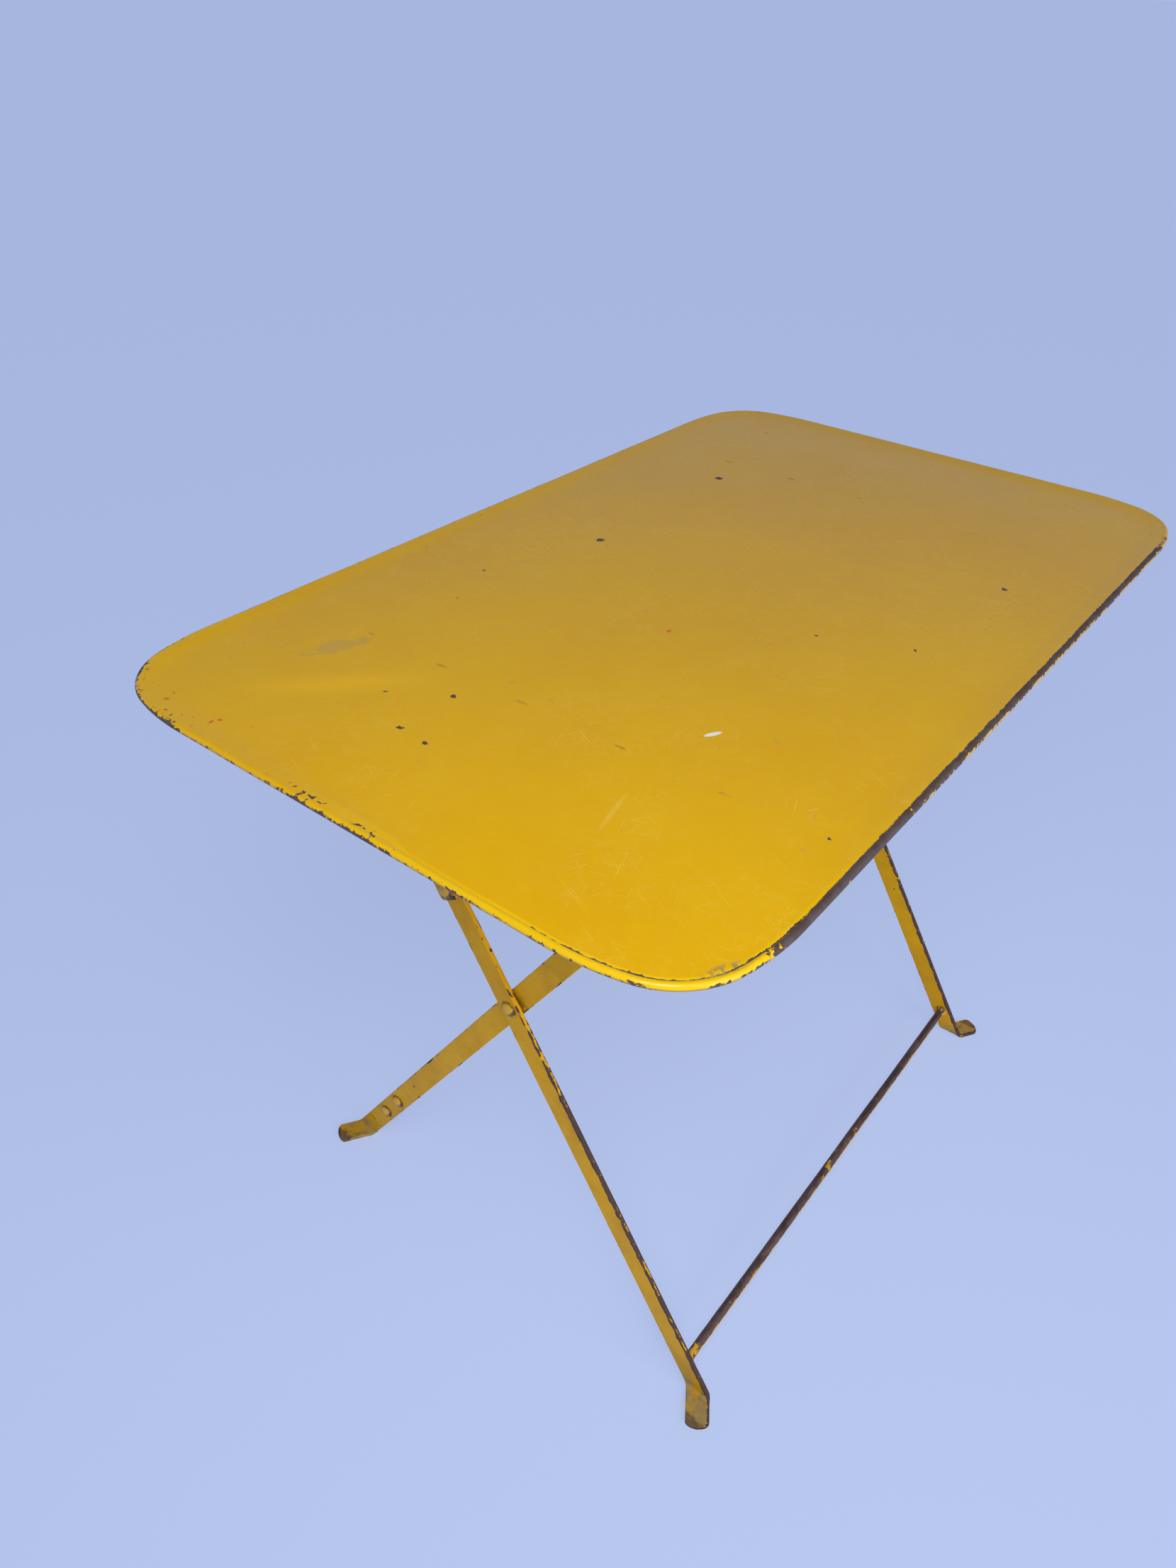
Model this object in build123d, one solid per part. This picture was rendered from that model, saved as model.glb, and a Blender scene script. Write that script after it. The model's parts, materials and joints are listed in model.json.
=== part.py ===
from build123d import *
import math
import os

# Folding sheet-steel garden table on two X-shaped pairs of flat-bar legs.
# Millimetres, +Z up. The origin is on the floor under the middle of the top.
# +X runs along the long side and +Y along the short side; "right" is +X.
# Leg pair A hangs from the hinges at +Y and stands at -Y. Leg pair B stands
# at +Y and carries a rod at its top, which hooks into the rails at -Y.

# ---- driving dimensions: the top ----
top_length = 1000.0
top_width = 610.0
top_height = 740.0            # floor to the crown of the rolled edge
sheet_thickness = 1.2
wire_diameter = 4.0           # steel wire inside the rolled edge
bead_proud = 1.6              # rolled edge above the flat of the top
bead_seam = 0.8               # slit where the rolled sheet ends
corner_flank_radius = 220.0   # each corner: gentle arc, tight arc, gentle arc
corner_nose_radius = 75.0
corner_flank_angle = 15.0

# ---- driving dimensions: the legs ----
frame_length = 654.0          # over the outer faces of leg pair A
foot_reach = 262.0            # middle of the table to a leg's line on the floor
hinge_reach = 194.0           # middle of the table to the hinge and to the hook
hinge_drop = 28.0             # crown of the top down to the hinge and hook line
bar_width = 25.0
bar_thickness = 5.0
bend_radius = 4.0             # inside of the bend above each foot pad
pad_run = 24.0                # flat part of a foot pad, along the bar
pad_bulge = 5.0               # rounding of the pad's end
rod_diameter = 10.0
weld_flare = 2.5              # weld round each end of the lower rod
weld_length = 4.0

# ---- driving dimensions: hinges, laps and rivets ----
lower_rod_distance = 42.0     # along leg A, up from the floor
strap_end_distance = 608.0    # lower end of the hinge strap, along leg A
strap_rivet_inset = 12.0      # lower strap rivet, in from the strap's end
strap_rivet_pitch = 38.0
strap_lap_margin = 17.0       # leg A's bar beyond the upper strap rivet
strap_end_radius = 5.0
foot_rivet_distance = 95.0    # lower foot rivet, along leg B
foot_rivet_pitch = 43.0
foot_lap_margin = 20.0        # foot piece beyond the upper foot rivet
bar_lap_margin = 44.0         # leg B's bar beyond the lower foot rivet
shank_diameter = 8.0
head_diameter = 15.0
head_height = 3.8
tail_diameter = 13.0
tail_height = 2.6
countersink_depth = 2.2
countersink_diameter = 11.0
washer_thickness = 1.2
hinge_washer_thickness = 1.0
washer_diameter = 20.0
crossing_gap = 1.5            # between the bars of pair A and pair B
hinge_gap = 1.5               # between the hinge strap and the rail
turning_fit = 0.08            # radial play of a rivet in a turning hole
head_play = 0.3               # under the head of a rivet that turns

# ---- driving dimensions: the rails under the top ----
rail_thickness = 4.0
rail_flange = 25.0
ear_radius = 12.0
slot_play = 0.3               # round the hook rod in its slot
rod_end_play = 0.5            # between the hook rod's end and the strap
hook_wall = 10.0
hook_lip = 6.0
hook_overhang = 8.0           # lip past the rod's middle
hook_corner = 5.0

# ---- worked out from those ----
bead_radius = wire_diameter / 2 + sheet_thickness
flat_height = top_height - bead_proud
under_sheet = flat_height - sheet_thickness
hinge_height = top_height - hinge_drop
leg_run = foot_reach + hinge_reach
leg_slope = math.atan2(hinge_height, leg_run)
leg_length = math.hypot(hinge_height, leg_run)
crossing_distance = leg_length * foot_reach / leg_run

a_outer = frame_length / 2
a_inner = a_outer - bar_thickness
b_outer = a_inner - crossing_gap
b_inner = b_outer - bar_thickness
foot_b_inner = b_inner - bar_thickness
strap_outer = a_outer + bar_thickness
web_outer = a_outer - hinge_gap
web_inner = web_outer - rail_thickness

shank_radius = shank_diameter / 2
rod_radius = rod_diameter / 2
slot_radius = rod_radius + slot_play
web_bottom = hinge_height + slot_radius
bend_height = bar_thickness + bend_radius
bar_span = bar_width / math.sin(leg_slope)   # a leg's width along the floor

RISES_TO_BACK = 1    # leg pair A climbs towards +Y
RISES_TO_FRONT = -1  # leg pair B climbs towards -Y


# ---- shared shapes ----
def leg_point(lean, distance):
    """(y, z) on a leg's line, a distance up from where it meets the floor."""
    along_floor = distance * math.cos(leg_slope) - foot_reach
    return lean * along_floor, distance * math.sin(leg_slope)


def bar_face(lean, start, end):
    """Side view of a straight flat bar between two distances along a leg."""
    turned = Rot(0, 0, lean * math.degrees(leg_slope)) * Rectangle(end - start, bar_width)
    return Pos(*leg_point(lean, (start + end) / 2)) * turned


def disc(centre, radius):
    """A round face in the side view."""
    return Pos(*centre) * Circle(radius)


def box_face(y_low, y_high, z_low, z_high):
    """A rectangle in the side view."""
    centre = Pos((y_low + y_high) / 2, (z_low + z_high) / 2)
    return centre * Rectangle(y_high - y_low, z_high - z_low)


def plate(side_view, x_inner, x_outer):
    """A flat piece with that side view, between two planes across X."""
    plane = Plane(origin=(x_inner, 0, 0), x_dir=(0, 1, 0), z_dir=(1, 0, 0))
    return extrude(plane * side_view, x_outer - x_inner)


def rod(centre, x_start, x_end, radius):
    """A round bar along X."""
    turned = Rot(0, 90, 0) * Cylinder(radius, x_end - x_start)
    return Pos((x_start + x_end) / 2, *centre) * turned


def dome(centre, x_seat, outward, diameter, height):
    """A rivet head seated on x_seat that bulges towards outward, +1 or -1."""
    rim = diameter / 2
    sphere = (rim**2 + height**2) / (2 * height)
    x_sphere = x_seat + outward * (height - sphere)
    half_angle = math.asin(rim / sphere) / 2
    shoulder = (x_sphere + outward * sphere * math.cos(half_angle), sphere * math.sin(half_angle))
    crown = (x_seat + outward * height, 0)
    arc = ThreePointArc((x_seat, rim), shoulder, crown)
    profile = make_face(arc + Polyline(crown, (x_seat, 0), (x_seat, rim)))
    return Pos(0, *centre) * revolve(profile, Axis.X)


def cone(centre, x_wide, x_narrow, wide_diameter, narrow_diameter):
    """A countersink or a weld fillet, from its wide plane to its narrow one."""
    outline = Polyline(
        (x_wide, 0),
        (x_wide, wide_diameter / 2),
        (x_narrow, narrow_diameter / 2),
        (x_narrow, 0),
        (x_wide, 0),
    )
    return Pos(0, *centre) * revolve(make_face(outline), Axis.X)


def flush_tail(centre, x_face):
    """The countersunk end of a rivet, level with a bar's inner face."""
    x_narrow = x_face + countersink_depth
    return cone(centre, x_face, x_narrow, countersink_diameter, shank_diameter)


def foot_bend_and_pad(lean, x_inner):
    """The bar's quarter bend outwards and the skewed pad it stands on."""
    x_bend = x_inner + bend_height
    y_bend = leg_point(lean, bend_height / math.sin(leg_slope))[0]
    outer = Rot(90, 0, 0) * Cylinder(bend_height, bar_span)
    inner = Rot(90, 0, 0) * Cylinder(bend_radius, bar_span)
    quarter = Pos(-bend_height / 2, 0, -bend_height / 2) * Box(bend_height, bar_span, bend_height)
    bend = Pos(x_bend, y_bend, bend_height) * ((outer - inner) & quarter)

    along = Vector(math.sin(leg_slope), -lean * math.cos(leg_slope))
    across = Vector(lean * math.cos(leg_slope), math.sin(leg_slope))
    pad_start = Vector(x_bend, y_bend)
    pad_end = pad_start + along * pad_run
    left = pad_end - across * (bar_width / 2)
    right = pad_end + across * (bar_width / 2)
    half_span = Vector(0, bar_span / 2)
    sides = Polyline(right, pad_start + half_span, pad_start - half_span, left)
    tip = ThreePointArc(left, pad_end + along * pad_bulge, right)
    pad = extrude(make_face(sides + tip), bar_thickness)
    return bend + pad


def leg_with_foot(lean, x_inner, end):
    """A flat bar from its foot pad up to a distance along the leg."""
    side_view = bar_face(lean, -bar_width, end)
    side_view -= box_face(-top_width, top_width, -top_height, bend_height)
    return plate(side_view, x_inner, x_inner + bar_thickness) + foot_bend_and_pad(lean, x_inner)


# ---- the top ----
def top_outline(inset):
    """The top's outline, a distance in from its edge, at the bead's middle."""
    turn = math.radians(corner_flank_angle)
    flank = corner_flank_radius - inset
    nose = corner_nose_radius - inset
    corner = flank * (math.sin(turn) + 1 - math.cos(turn)) + nose * (math.cos(turn) - math.sin(turn))
    half_length = top_length / 2 - inset
    half_width = top_width / 2 - inset
    height = top_height - bead_radius
    edge_starts = [
        Vector(corner - half_length, -half_width, height),
        Vector(half_length, corner - half_width, height),
        Vector(half_length - corner, half_width, height),
        Vector(-half_length, half_width - corner, height),
    ]
    edge_ends = [
        Vector(half_length - corner, -half_width, height),
        Vector(half_length, half_width - corner, height),
        Vector(corner - half_length, half_width, height),
        Vector(-half_length, corner - half_width, height),
    ]
    edges = []
    for start, end in zip(edge_starts, edge_ends):
        edges.append(Line(start, end))
        for radius, angle in (
            (flank, corner_flank_angle),
            (nose, 90 - 2 * corner_flank_angle),
            (flank, corner_flank_angle),
        ):
            edges.append(JernArc(edges[-1] @ 1, edges[-1] % 1, radius, angle))
    return Wire(edges)


def bead_section(profile, path):
    """That profile carried round the top's edge; its own X points inboard."""
    start = Plane(origin=path @ 0, x_dir=(0, 1, 0), z_dir=(1, 0, 0))
    return sweep(start * profile, path=path)


def top_sheet():
    """The sheet top with its edge rolled down and round the wire."""
    path = top_outline(bead_radius)
    flat = Pos(0, 0, under_sheet - (top_height - bead_radius)) * extrude(make_face(path), sheet_thickness)
    seam = Pos(bead_radius, -sheet_thickness) * Rectangle(bead_radius, bead_seam)
    rolled = Circle(bead_radius) - Circle(wire_diameter / 2) - seam
    bead = bead_section(rolled, path)
    bore = bead_section(Circle(wire_diameter / 2), path)
    return flat - bore + bead


def edge_wire():
    """The wire that stiffens the rolled edge."""
    return bead_section(Circle(wire_diameter / 2), top_outline(bead_radius))


# ---- the rails ----
def rail():
    """Angle rail welded under the top, with a hinge ear and an open hook."""
    hinge = (hinge_reach, hinge_height)
    rod_seat = (-hinge_reach, hinge_height)
    back = -hinge_reach - slot_radius - hook_wall
    lip_tip = hook_overhang - hinge_reach
    lip_bottom = hinge_height - slot_radius - hook_lip
    web = box_face(back, hinge_reach + ear_radius, web_bottom, under_sheet)
    web += box_face(hinge_reach - ear_radius, hinge_reach + ear_radius, hinge_height, web_bottom)
    web += disc(hinge, ear_radius)
    hook = box_face(back, lip_tip, lip_bottom, web_bottom)
    hook = fillet(hook.vertices().group_by(Axis.Y)[0], min(hook_corner, hook_lip / 2))
    web += hook
    web -= disc(rod_seat, slot_radius)
    web -= box_face(-hinge_reach, lip_tip, hinge_height - slot_radius, web_bottom)
    flange = box_face(back, hinge_reach + ear_radius, under_sheet - rail_thickness, under_sheet)
    solid = plate(web, web_inner, web_outer) + plate(flange, web_inner - rail_flange, web_inner)
    return solid - rod(hinge, web_inner, web_outer, shank_radius)


# ---- leg pair A, its hinge straps and its lower rod ----
hinge_point = leg_point(RISES_TO_BACK, leg_length)
crossing_point = leg_point(RISES_TO_BACK, crossing_distance)
lower_rod_point = leg_point(RISES_TO_BACK, lower_rod_distance)
strap_rivet_low = strap_end_distance + strap_rivet_inset
strap_rivet_points = [
    leg_point(RISES_TO_BACK, strap_rivet_low),
    leg_point(RISES_TO_BACK, strap_rivet_low + strap_rivet_pitch),
]


def leg_a():
    """Outer leg: foot pad, crossing hole and countersunk strap rivet holes."""
    end = strap_rivet_low + strap_rivet_pitch + strap_lap_margin
    solid = leg_with_foot(RISES_TO_BACK, a_inner, end)
    solid -= rod(crossing_point, a_inner, a_outer, shank_radius)
    for point in strap_rivet_points:
        solid -= rod(point, a_inner, a_outer, shank_radius)
        solid -= flush_tail(point, a_inner)
    return solid


def hinge_strap():
    """Flat strap that carries leg A's top end on its hinge rivet."""
    middle = (strap_end_distance + leg_length) / 2
    side_view = bar_face(RISES_TO_BACK, strap_end_distance, middle)
    far_corners = side_view.vertices().sort_by_distance((*hinge_point, 0))[-2:]
    side_view = fillet(far_corners, strap_end_radius)
    side_view += bar_face(RISES_TO_BACK, middle, leg_length)
    side_view += disc(hinge_point, bar_width / 2)
    solid = plate(side_view, a_outer, strap_outer)
    solid -= rod(hinge_point, a_outer, strap_outer, shank_radius + turning_fit)
    for point in strap_rivet_points:
        solid -= rod(point, a_outer, strap_outer, shank_radius)
    return solid


def strap_rivets():
    """Two domed rivets, flush inside so that leg B can pass."""
    solids = []
    for point in strap_rivet_points:
        rivet = rod(point, a_inner, strap_outer, shank_radius) + flush_tail(point, a_inner)
        solids.append(rivet + dome(point, strap_outer, 1, head_diameter, head_height))
    return solids


def lower_rod():
    """Round stretcher between the feet of leg pair A, welded at both ends."""
    solid = rod(lower_rod_point, -a_inner, a_inner, rod_radius)
    wide = rod_diameter + 2 * weld_flare
    for side in (-1, 1):
        weld_end = side * (a_inner - weld_length)
        solid += cone(lower_rod_point, side * a_inner, weld_end, wide, rod_diameter)
    return solid


# ---- leg pair B, its feet and its hook rod ----
hook_point = leg_point(RISES_TO_FRONT, leg_length)
foot_rivet_points = [
    leg_point(RISES_TO_FRONT, foot_rivet_distance),
    leg_point(RISES_TO_FRONT, foot_rivet_distance + foot_rivet_pitch),
]


def leg_b():
    """Inner leg: a straight bar from the foot lap up to the hook rod."""
    start = foot_rivet_distance - bar_lap_margin
    side_view = bar_face(RISES_TO_FRONT, start, leg_length) + disc(hook_point, bar_width / 2)
    solid = plate(side_view, b_inner, b_outer)
    solid -= rod(hook_point, b_inner, b_outer, rod_radius)
    solid -= rod(crossing_point, b_inner, b_outer, shank_radius + turning_fit)
    for point in foot_rivet_points:
        solid -= rod(point, b_inner, b_outer, shank_radius)
    return solid


def foot_b():
    """Bent foot piece, lapped on the inner face of leg B."""
    end = foot_rivet_distance + foot_rivet_pitch + foot_lap_margin
    solid = leg_with_foot(RISES_TO_FRONT, foot_b_inner, end)
    for point in foot_rivet_points:
        solid -= rod(point, foot_b_inner, b_inner, shank_radius)
    return solid


def foot_rivets():
    """Two rivets through leg B and its foot piece, headed on both sides."""
    solids = []
    for point in foot_rivet_points:
        rivet = rod(point, foot_b_inner, b_outer, shank_radius)
        rivet += dome(point, b_outer, 1, head_diameter, head_height)
        solids.append(rivet + dome(point, foot_b_inner, -1, tail_diameter, tail_height))
    return solids


def hook_rod():
    """Round rod through the tops of leg pair B; its ends lie in the hooks."""
    return rod(hook_point, rod_end_play - a_outer, a_outer - rod_end_play, rod_radius)


# ---- pivots ----
def crossing_rivet():
    """Pivot of the X: tight in leg A, turning in leg B."""
    x_tail = b_inner - head_play
    rivet = rod(crossing_point, x_tail, a_outer, shank_radius)
    rivet += dome(crossing_point, a_outer, 1, head_diameter, head_height)
    return rivet + dome(crossing_point, x_tail, -1, tail_diameter, tail_height)


def crossing_washer():
    """Washer that keeps the two leg pairs apart."""
    outer = rod(crossing_point, a_inner - washer_thickness, a_inner, washer_diameter / 2)
    return outer - rod(crossing_point, b_outer, a_inner, shank_radius)


def hinge_rivet():
    """Pivot at the top of leg A: tight in the rail's ear, turning in the strap."""
    x_head = strap_outer + head_play
    rivet = rod(hinge_point, web_inner, x_head, shank_radius)
    rivet += dome(hinge_point, x_head, 1, head_diameter, head_height)
    return rivet + dome(hinge_point, web_inner, -1, tail_diameter, tail_height)


def hinge_washer():
    """Washer between the rail's ear and the hinge strap."""
    outer = rod(hinge_point, web_outer, web_outer + hinge_washer_thickness, washer_diameter / 2)
    return outer - rod(hinge_point, web_outer, a_outer, shank_radius)


# ---- write one STEP file for each piece ----
os.makedirs("parts", exist_ok=True)

single_pieces = {
    "top_sheet": top_sheet,
    "edge_wire": edge_wire,
    "lower_rod": lower_rod,
    "hook_rod": hook_rod,
}
for name, make in single_pieces.items():
    export_step(make(), f"parts/{name}.step")

paired_pieces = {
    "rail": rail,
    "leg_a": leg_a,
    "hinge_strap": hinge_strap,
    "strap_rivets": strap_rivets,
    "leg_b": leg_b,
    "foot_b": foot_b,
    "foot_rivets": foot_rivets,
    "crossing_rivet": crossing_rivet,
    "crossing_washer": crossing_washer,
    "hinge_rivet": hinge_rivet,
    "hinge_washer": hinge_washer,
}
for name, make in paired_pieces.items():
    right = make()
    if isinstance(right, list):
        right = Compound(right)
    export_step(right, f"parts/{name}_right.step")
    export_step(mirror(right, about=Plane.YZ), f"parts/{name}_left.step")
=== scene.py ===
import bmesh
import bpy
import json
import math
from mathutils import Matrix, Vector, noise
from mathutils.geometry import delaunay_2d_cdt


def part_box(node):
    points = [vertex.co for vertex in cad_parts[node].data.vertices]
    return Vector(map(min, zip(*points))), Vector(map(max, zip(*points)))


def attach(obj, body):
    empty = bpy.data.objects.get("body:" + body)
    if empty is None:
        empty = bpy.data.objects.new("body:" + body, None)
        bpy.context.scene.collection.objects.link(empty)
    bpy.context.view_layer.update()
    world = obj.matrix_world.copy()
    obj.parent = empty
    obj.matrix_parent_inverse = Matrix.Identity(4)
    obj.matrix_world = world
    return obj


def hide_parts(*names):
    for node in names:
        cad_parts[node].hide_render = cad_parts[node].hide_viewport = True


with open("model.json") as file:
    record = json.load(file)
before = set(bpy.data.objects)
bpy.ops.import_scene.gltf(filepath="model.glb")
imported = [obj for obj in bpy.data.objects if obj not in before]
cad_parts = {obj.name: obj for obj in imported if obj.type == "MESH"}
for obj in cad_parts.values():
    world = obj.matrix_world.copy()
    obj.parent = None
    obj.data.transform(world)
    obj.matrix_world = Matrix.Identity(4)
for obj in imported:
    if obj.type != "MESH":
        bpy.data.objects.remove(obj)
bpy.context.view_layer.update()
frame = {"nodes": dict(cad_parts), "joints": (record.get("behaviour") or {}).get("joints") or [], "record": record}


# ---- edge wire ----
# A ring of plain drawn steel wire. The sheet of the top is rolled round it to
# stiffen the edge, so it only shows through the seam underneath.
wire_dark, wire_bright = (0.16, 0.14, 0.13), (0.34, 0.31, 0.29)


def shader_node(tree, kind, **settings):
    """One node of a finish, with its own settings."""
    made = tree.nodes.new("ShaderNode" + kind)
    for name, value in settings.items():
        setattr(made, name, value)
    return made


def give(tree, socket, value):
    """A number, a colour or another node's output put into a socket."""
    if isinstance(value, bpy.types.NodeSocket):
        tree.links.new(value, socket)
    elif socket.type == "RGBA":
        socket.default_value = (*value, 1.0)
    else:
        socket.default_value = value


def value_ramp(tree, value, low, high, least=0.0, most=1.0):
    """A value that goes smoothly from least to most between low and high."""
    ramp = shader_node(tree, "MapRange", interpolation_type="SMOOTHSTEP")
    sockets = ("Value", "From Min", "From Max", "To Min", "To Max")
    for socket, given in zip(sockets, (value, low, high, least, most)):
        give(tree, ramp.inputs[socket], given)
    return ramp.outputs["Result"]


def blend_colours(tree, share, under, over):
    """One colour laid over another where share is 1."""
    mix = shader_node(tree, "Mix", data_type="RGBA")
    for socket, value in (("Factor", share), ("A", under), ("B", over)):
        give(tree, mix.inputs[socket], value)
    return mix.outputs["Result"]


def cloud(tree, coordinates, scale, detail=4.0, roughness=0.6, distortion=0.0):
    """Soft random mottling, from about 0.3 to 0.7."""
    texture = shader_node(tree, "TexNoise")
    sockets = ("Vector", "Scale", "Detail", "Roughness", "Distortion")
    for socket, value in zip(sockets, (coordinates, scale, detail, roughness, distortion)):
        give(tree, texture.inputs[socket], value)
    return texture.outputs["Fac"]


def stretched(tree, coordinates, stretch, turn=(0, 0, 0)):
    """Coordinates turned and drawn out, for marks that run one way."""
    mapping = shader_node(tree, "Mapping", vector_type="TEXTURE")
    for socket, value in (("Vector", coordinates), ("Rotation", turn), ("Scale", stretch)):
        give(tree, mapping.inputs[socket], value)
    return mapping.outputs["Vector"]


def own_coordinates(tree):
    """Where a point is on its own piece, in metres."""
    return shader_node(tree, "TexCoord").outputs["Object"]


def new_finish(name, roughness, metallic=0.0):
    """An empty material with its shader: returns the material, its tree and the shader."""
    material = bpy.data.materials.new(name)
    material.use_nodes = True
    shader = material.node_tree.nodes["Principled BSDF"]
    shader.inputs["Roughness"].default_value = roughness
    shader.inputs["Metallic"].default_value = metallic
    return material, material.node_tree, shader


def raise_surface(tree, shader, height, distance):
    """Bumps on the surface from a height value."""
    bump = shader_node(tree, "Bump")
    give(tree, bump.inputs["Distance"], distance)
    give(tree, bump.inputs["Height"], height)
    give(tree, shader.inputs["Normal"], bump.outputs["Normal"])


def put_finish(piece, material):
    """That finish alone on a piece."""
    piece.data.materials.clear()
    piece.data.materials.append(material)


def drawn_wire():
    """Bright steel with fine lines along the wire."""
    material, tree, shader = new_finish("drawn_wire", 0.4, 0.9)
    grain = cloud(tree, stretched(tree, own_coordinates(tree), (12, 1, 1)), 180)
    give(tree, shader.inputs["Base Color"], blend_colours(tree, grain, wire_dark, wire_bright))
    give(tree, shader.inputs["Roughness"], value_ramp(tree, grain, 0.3, 0.7, 0.35, 0.6))
    raise_surface(tree, shader, grain, 0.00005)
    return material


put_finish(frame["nodes"]["edge_wire"], drawn_wire())


# ---- top sheet ----
# One sheet of 1.2 mm steel with rounded corners, its edge rolled down and
# round the wire. It is stove-enamelled yellow; the roll takes all the knocks,
# so the paint is gone along the front and chipped everywhere else.
corner_flank_radius = 0.220
corner_nose_radius = 0.075
corner_flank_turn = math.radians(15)
sheet_thickness = 0.0012
side_spacing = 0.008        # stations along the straight sides
corner_spacing = 0.0045     # stations round the corners
crease_angle = 30           # where the roll leaves the flat, up from level
roll_end_angle = 350        # where the rolled sheet ends, underneath
roll_step = 16
crease_depth = 0.00045
flat_margin = 0.026         # where the flat takes over from the roll
grid_pitch = 0.016          # mesh of the flat
hollow_depth = 0.0009       # how much the flat is out of true
hollow_length = 0.28

_, top_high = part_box("top_sheet")
wire_low, wire_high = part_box("edge_wire")
wire_radius = (wire_high.z - wire_low.z) / 2
roll_height = (wire_high.z + wire_low.z) / 2
roll_radius = top_high.z - roll_height
mounts = {mount["name"]: mount for mount in frame["record"]["mounts"]}
flat_height = mounts["tabletop"]["pos_m"][2]


def edge_stations():
    """(point, outward direction, distance run) round the outline, anticlockwise from the front left."""
    sine, cosine = math.sin(corner_flank_turn), math.cos(corner_flank_turn)
    corner = corner_flank_radius * (sine + 1 - cosine) + corner_nose_radius * (cosine - sine)
    arcs = (
        (corner_flank_radius, corner_flank_turn),
        (corner_nose_radius, math.pi / 2 - 2 * corner_flank_turn),
        (corner_flank_radius, corner_flank_turn),
    )
    sides = [2 * (top_high.x - corner), 2 * (top_high.y - corner)] * 2
    point = Vector((corner - top_high.x, -top_high.y))
    heading = 0.0
    run = 0.0
    stations = []
    for side in sides:
        steps = round(side / side_spacing)
        along = Vector((math.cos(heading), math.sin(heading)))
        outward = Vector((along.y, -along.x))
        for step in range(steps):
            stations.append((point + along * side * step / steps, outward, run + side * step / steps))
        point = point + along * side
        run += side
        for radius, turn in arcs:
            centre = point + Vector((-math.sin(heading), math.cos(heading))) * radius
            steps = max(3, round(radius * turn / corner_spacing))
            for step in range(steps):
                angle = heading + turn * step / steps
                outward = Vector((math.sin(angle), -math.cos(angle)))
                stations.append((centre + outward * radius, outward, run + radius * turn * step / steps))
            heading += turn
            point = centre + Vector((math.sin(heading), -math.cos(heading))) * radius
            run += radius * turn
    return stations


def roll_profile():
    """Section through the rolled edge: (distance in, height, angle on the roll or None)."""
    crease = math.radians(crease_angle)
    foot = roll_radius * (1 + math.cos(crease))
    profile = [(inset, flat_height, None) for inset in (flat_margin, 0.020, 0.015, 0.011, 0.0087)]
    profile.append((foot + 0.0011, flat_height - 0.0001, None))
    profile.append((foot + 0.0004, flat_height - crease_depth, None))
    for angle in range(crease_angle, roll_end_angle + 1, roll_step):
        turn = math.radians(angle)
        inset = roll_radius * (1 + math.cos(turn))
        profile.append((inset, roll_height + roll_radius * math.sin(turn), angle))
    inner = wire_radius * 1.01
    under = flat_height - sheet_thickness
    last = math.degrees(math.asin((under - roll_height) / inner))
    inner_steps = 17
    hidden_angle = 270      # the inside is worn like the lowest line of the roll
    for step in range(inner_steps + 1):
        turn = math.radians(roll_end_angle + (last - roll_end_angle) * step / inner_steps)
        inset = roll_radius + inner * math.cos(turn)
        profile.append((inset, roll_height + inner * math.sin(turn), hidden_angle))
    profile.append((foot + 0.0011, under, None))
    profile.append((flat_margin, under, None))
    return profile


def crease_sharpness(x, y):
    """1 where the roll stands clear of the flat behind a crease, 0 where it runs in smoothly."""
    left = fade(-x, top_high.x - 0.08, top_high.x - 0.02) * fade(-y, -0.02, 0.14)
    front = fade(-y, top_high.y - 0.05, top_high.y - 0.01) * (1 - fade(x, -0.40, -0.24))
    return 0.12 + 0.88 * max(left, front)


def eased_height(inset, height, sharpness):
    """The section's height where the roll runs in smoothly, mixed with the creased one."""
    if inset < roll_radius or height < flat_height - crease_depth * 1.01:
        return height
    smooth = top_high.z - (top_high.z - flat_height) * fade(inset, roll_radius * 0.9, flat_margin)
    return smooth + (height - smooth) * sharpness


def out_of_true(x, y):
    """How far the flat lies above or below level, easing to nothing at its edge."""
    inset = min(top_high.x - abs(x), top_high.y - abs(y))
    ease = min(1.0, max(0.0, (inset - flat_margin) / 0.09)) ** 2
    slow = noise.noise(Vector((x / hollow_length, y / hollow_length, 4.2)))
    quick = noise.noise(Vector((x / 0.09, y / 0.09, 9.1)))
    return hollow_depth * ease * (slow + 0.12 * quick)


def fade(value, low, high):
    """0 below low, 1 above high, and smooth between."""
    share = min(1.0, max(0.0, (value - low) / (high - low)))
    return share * share * (3 - 2 * share)


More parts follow.
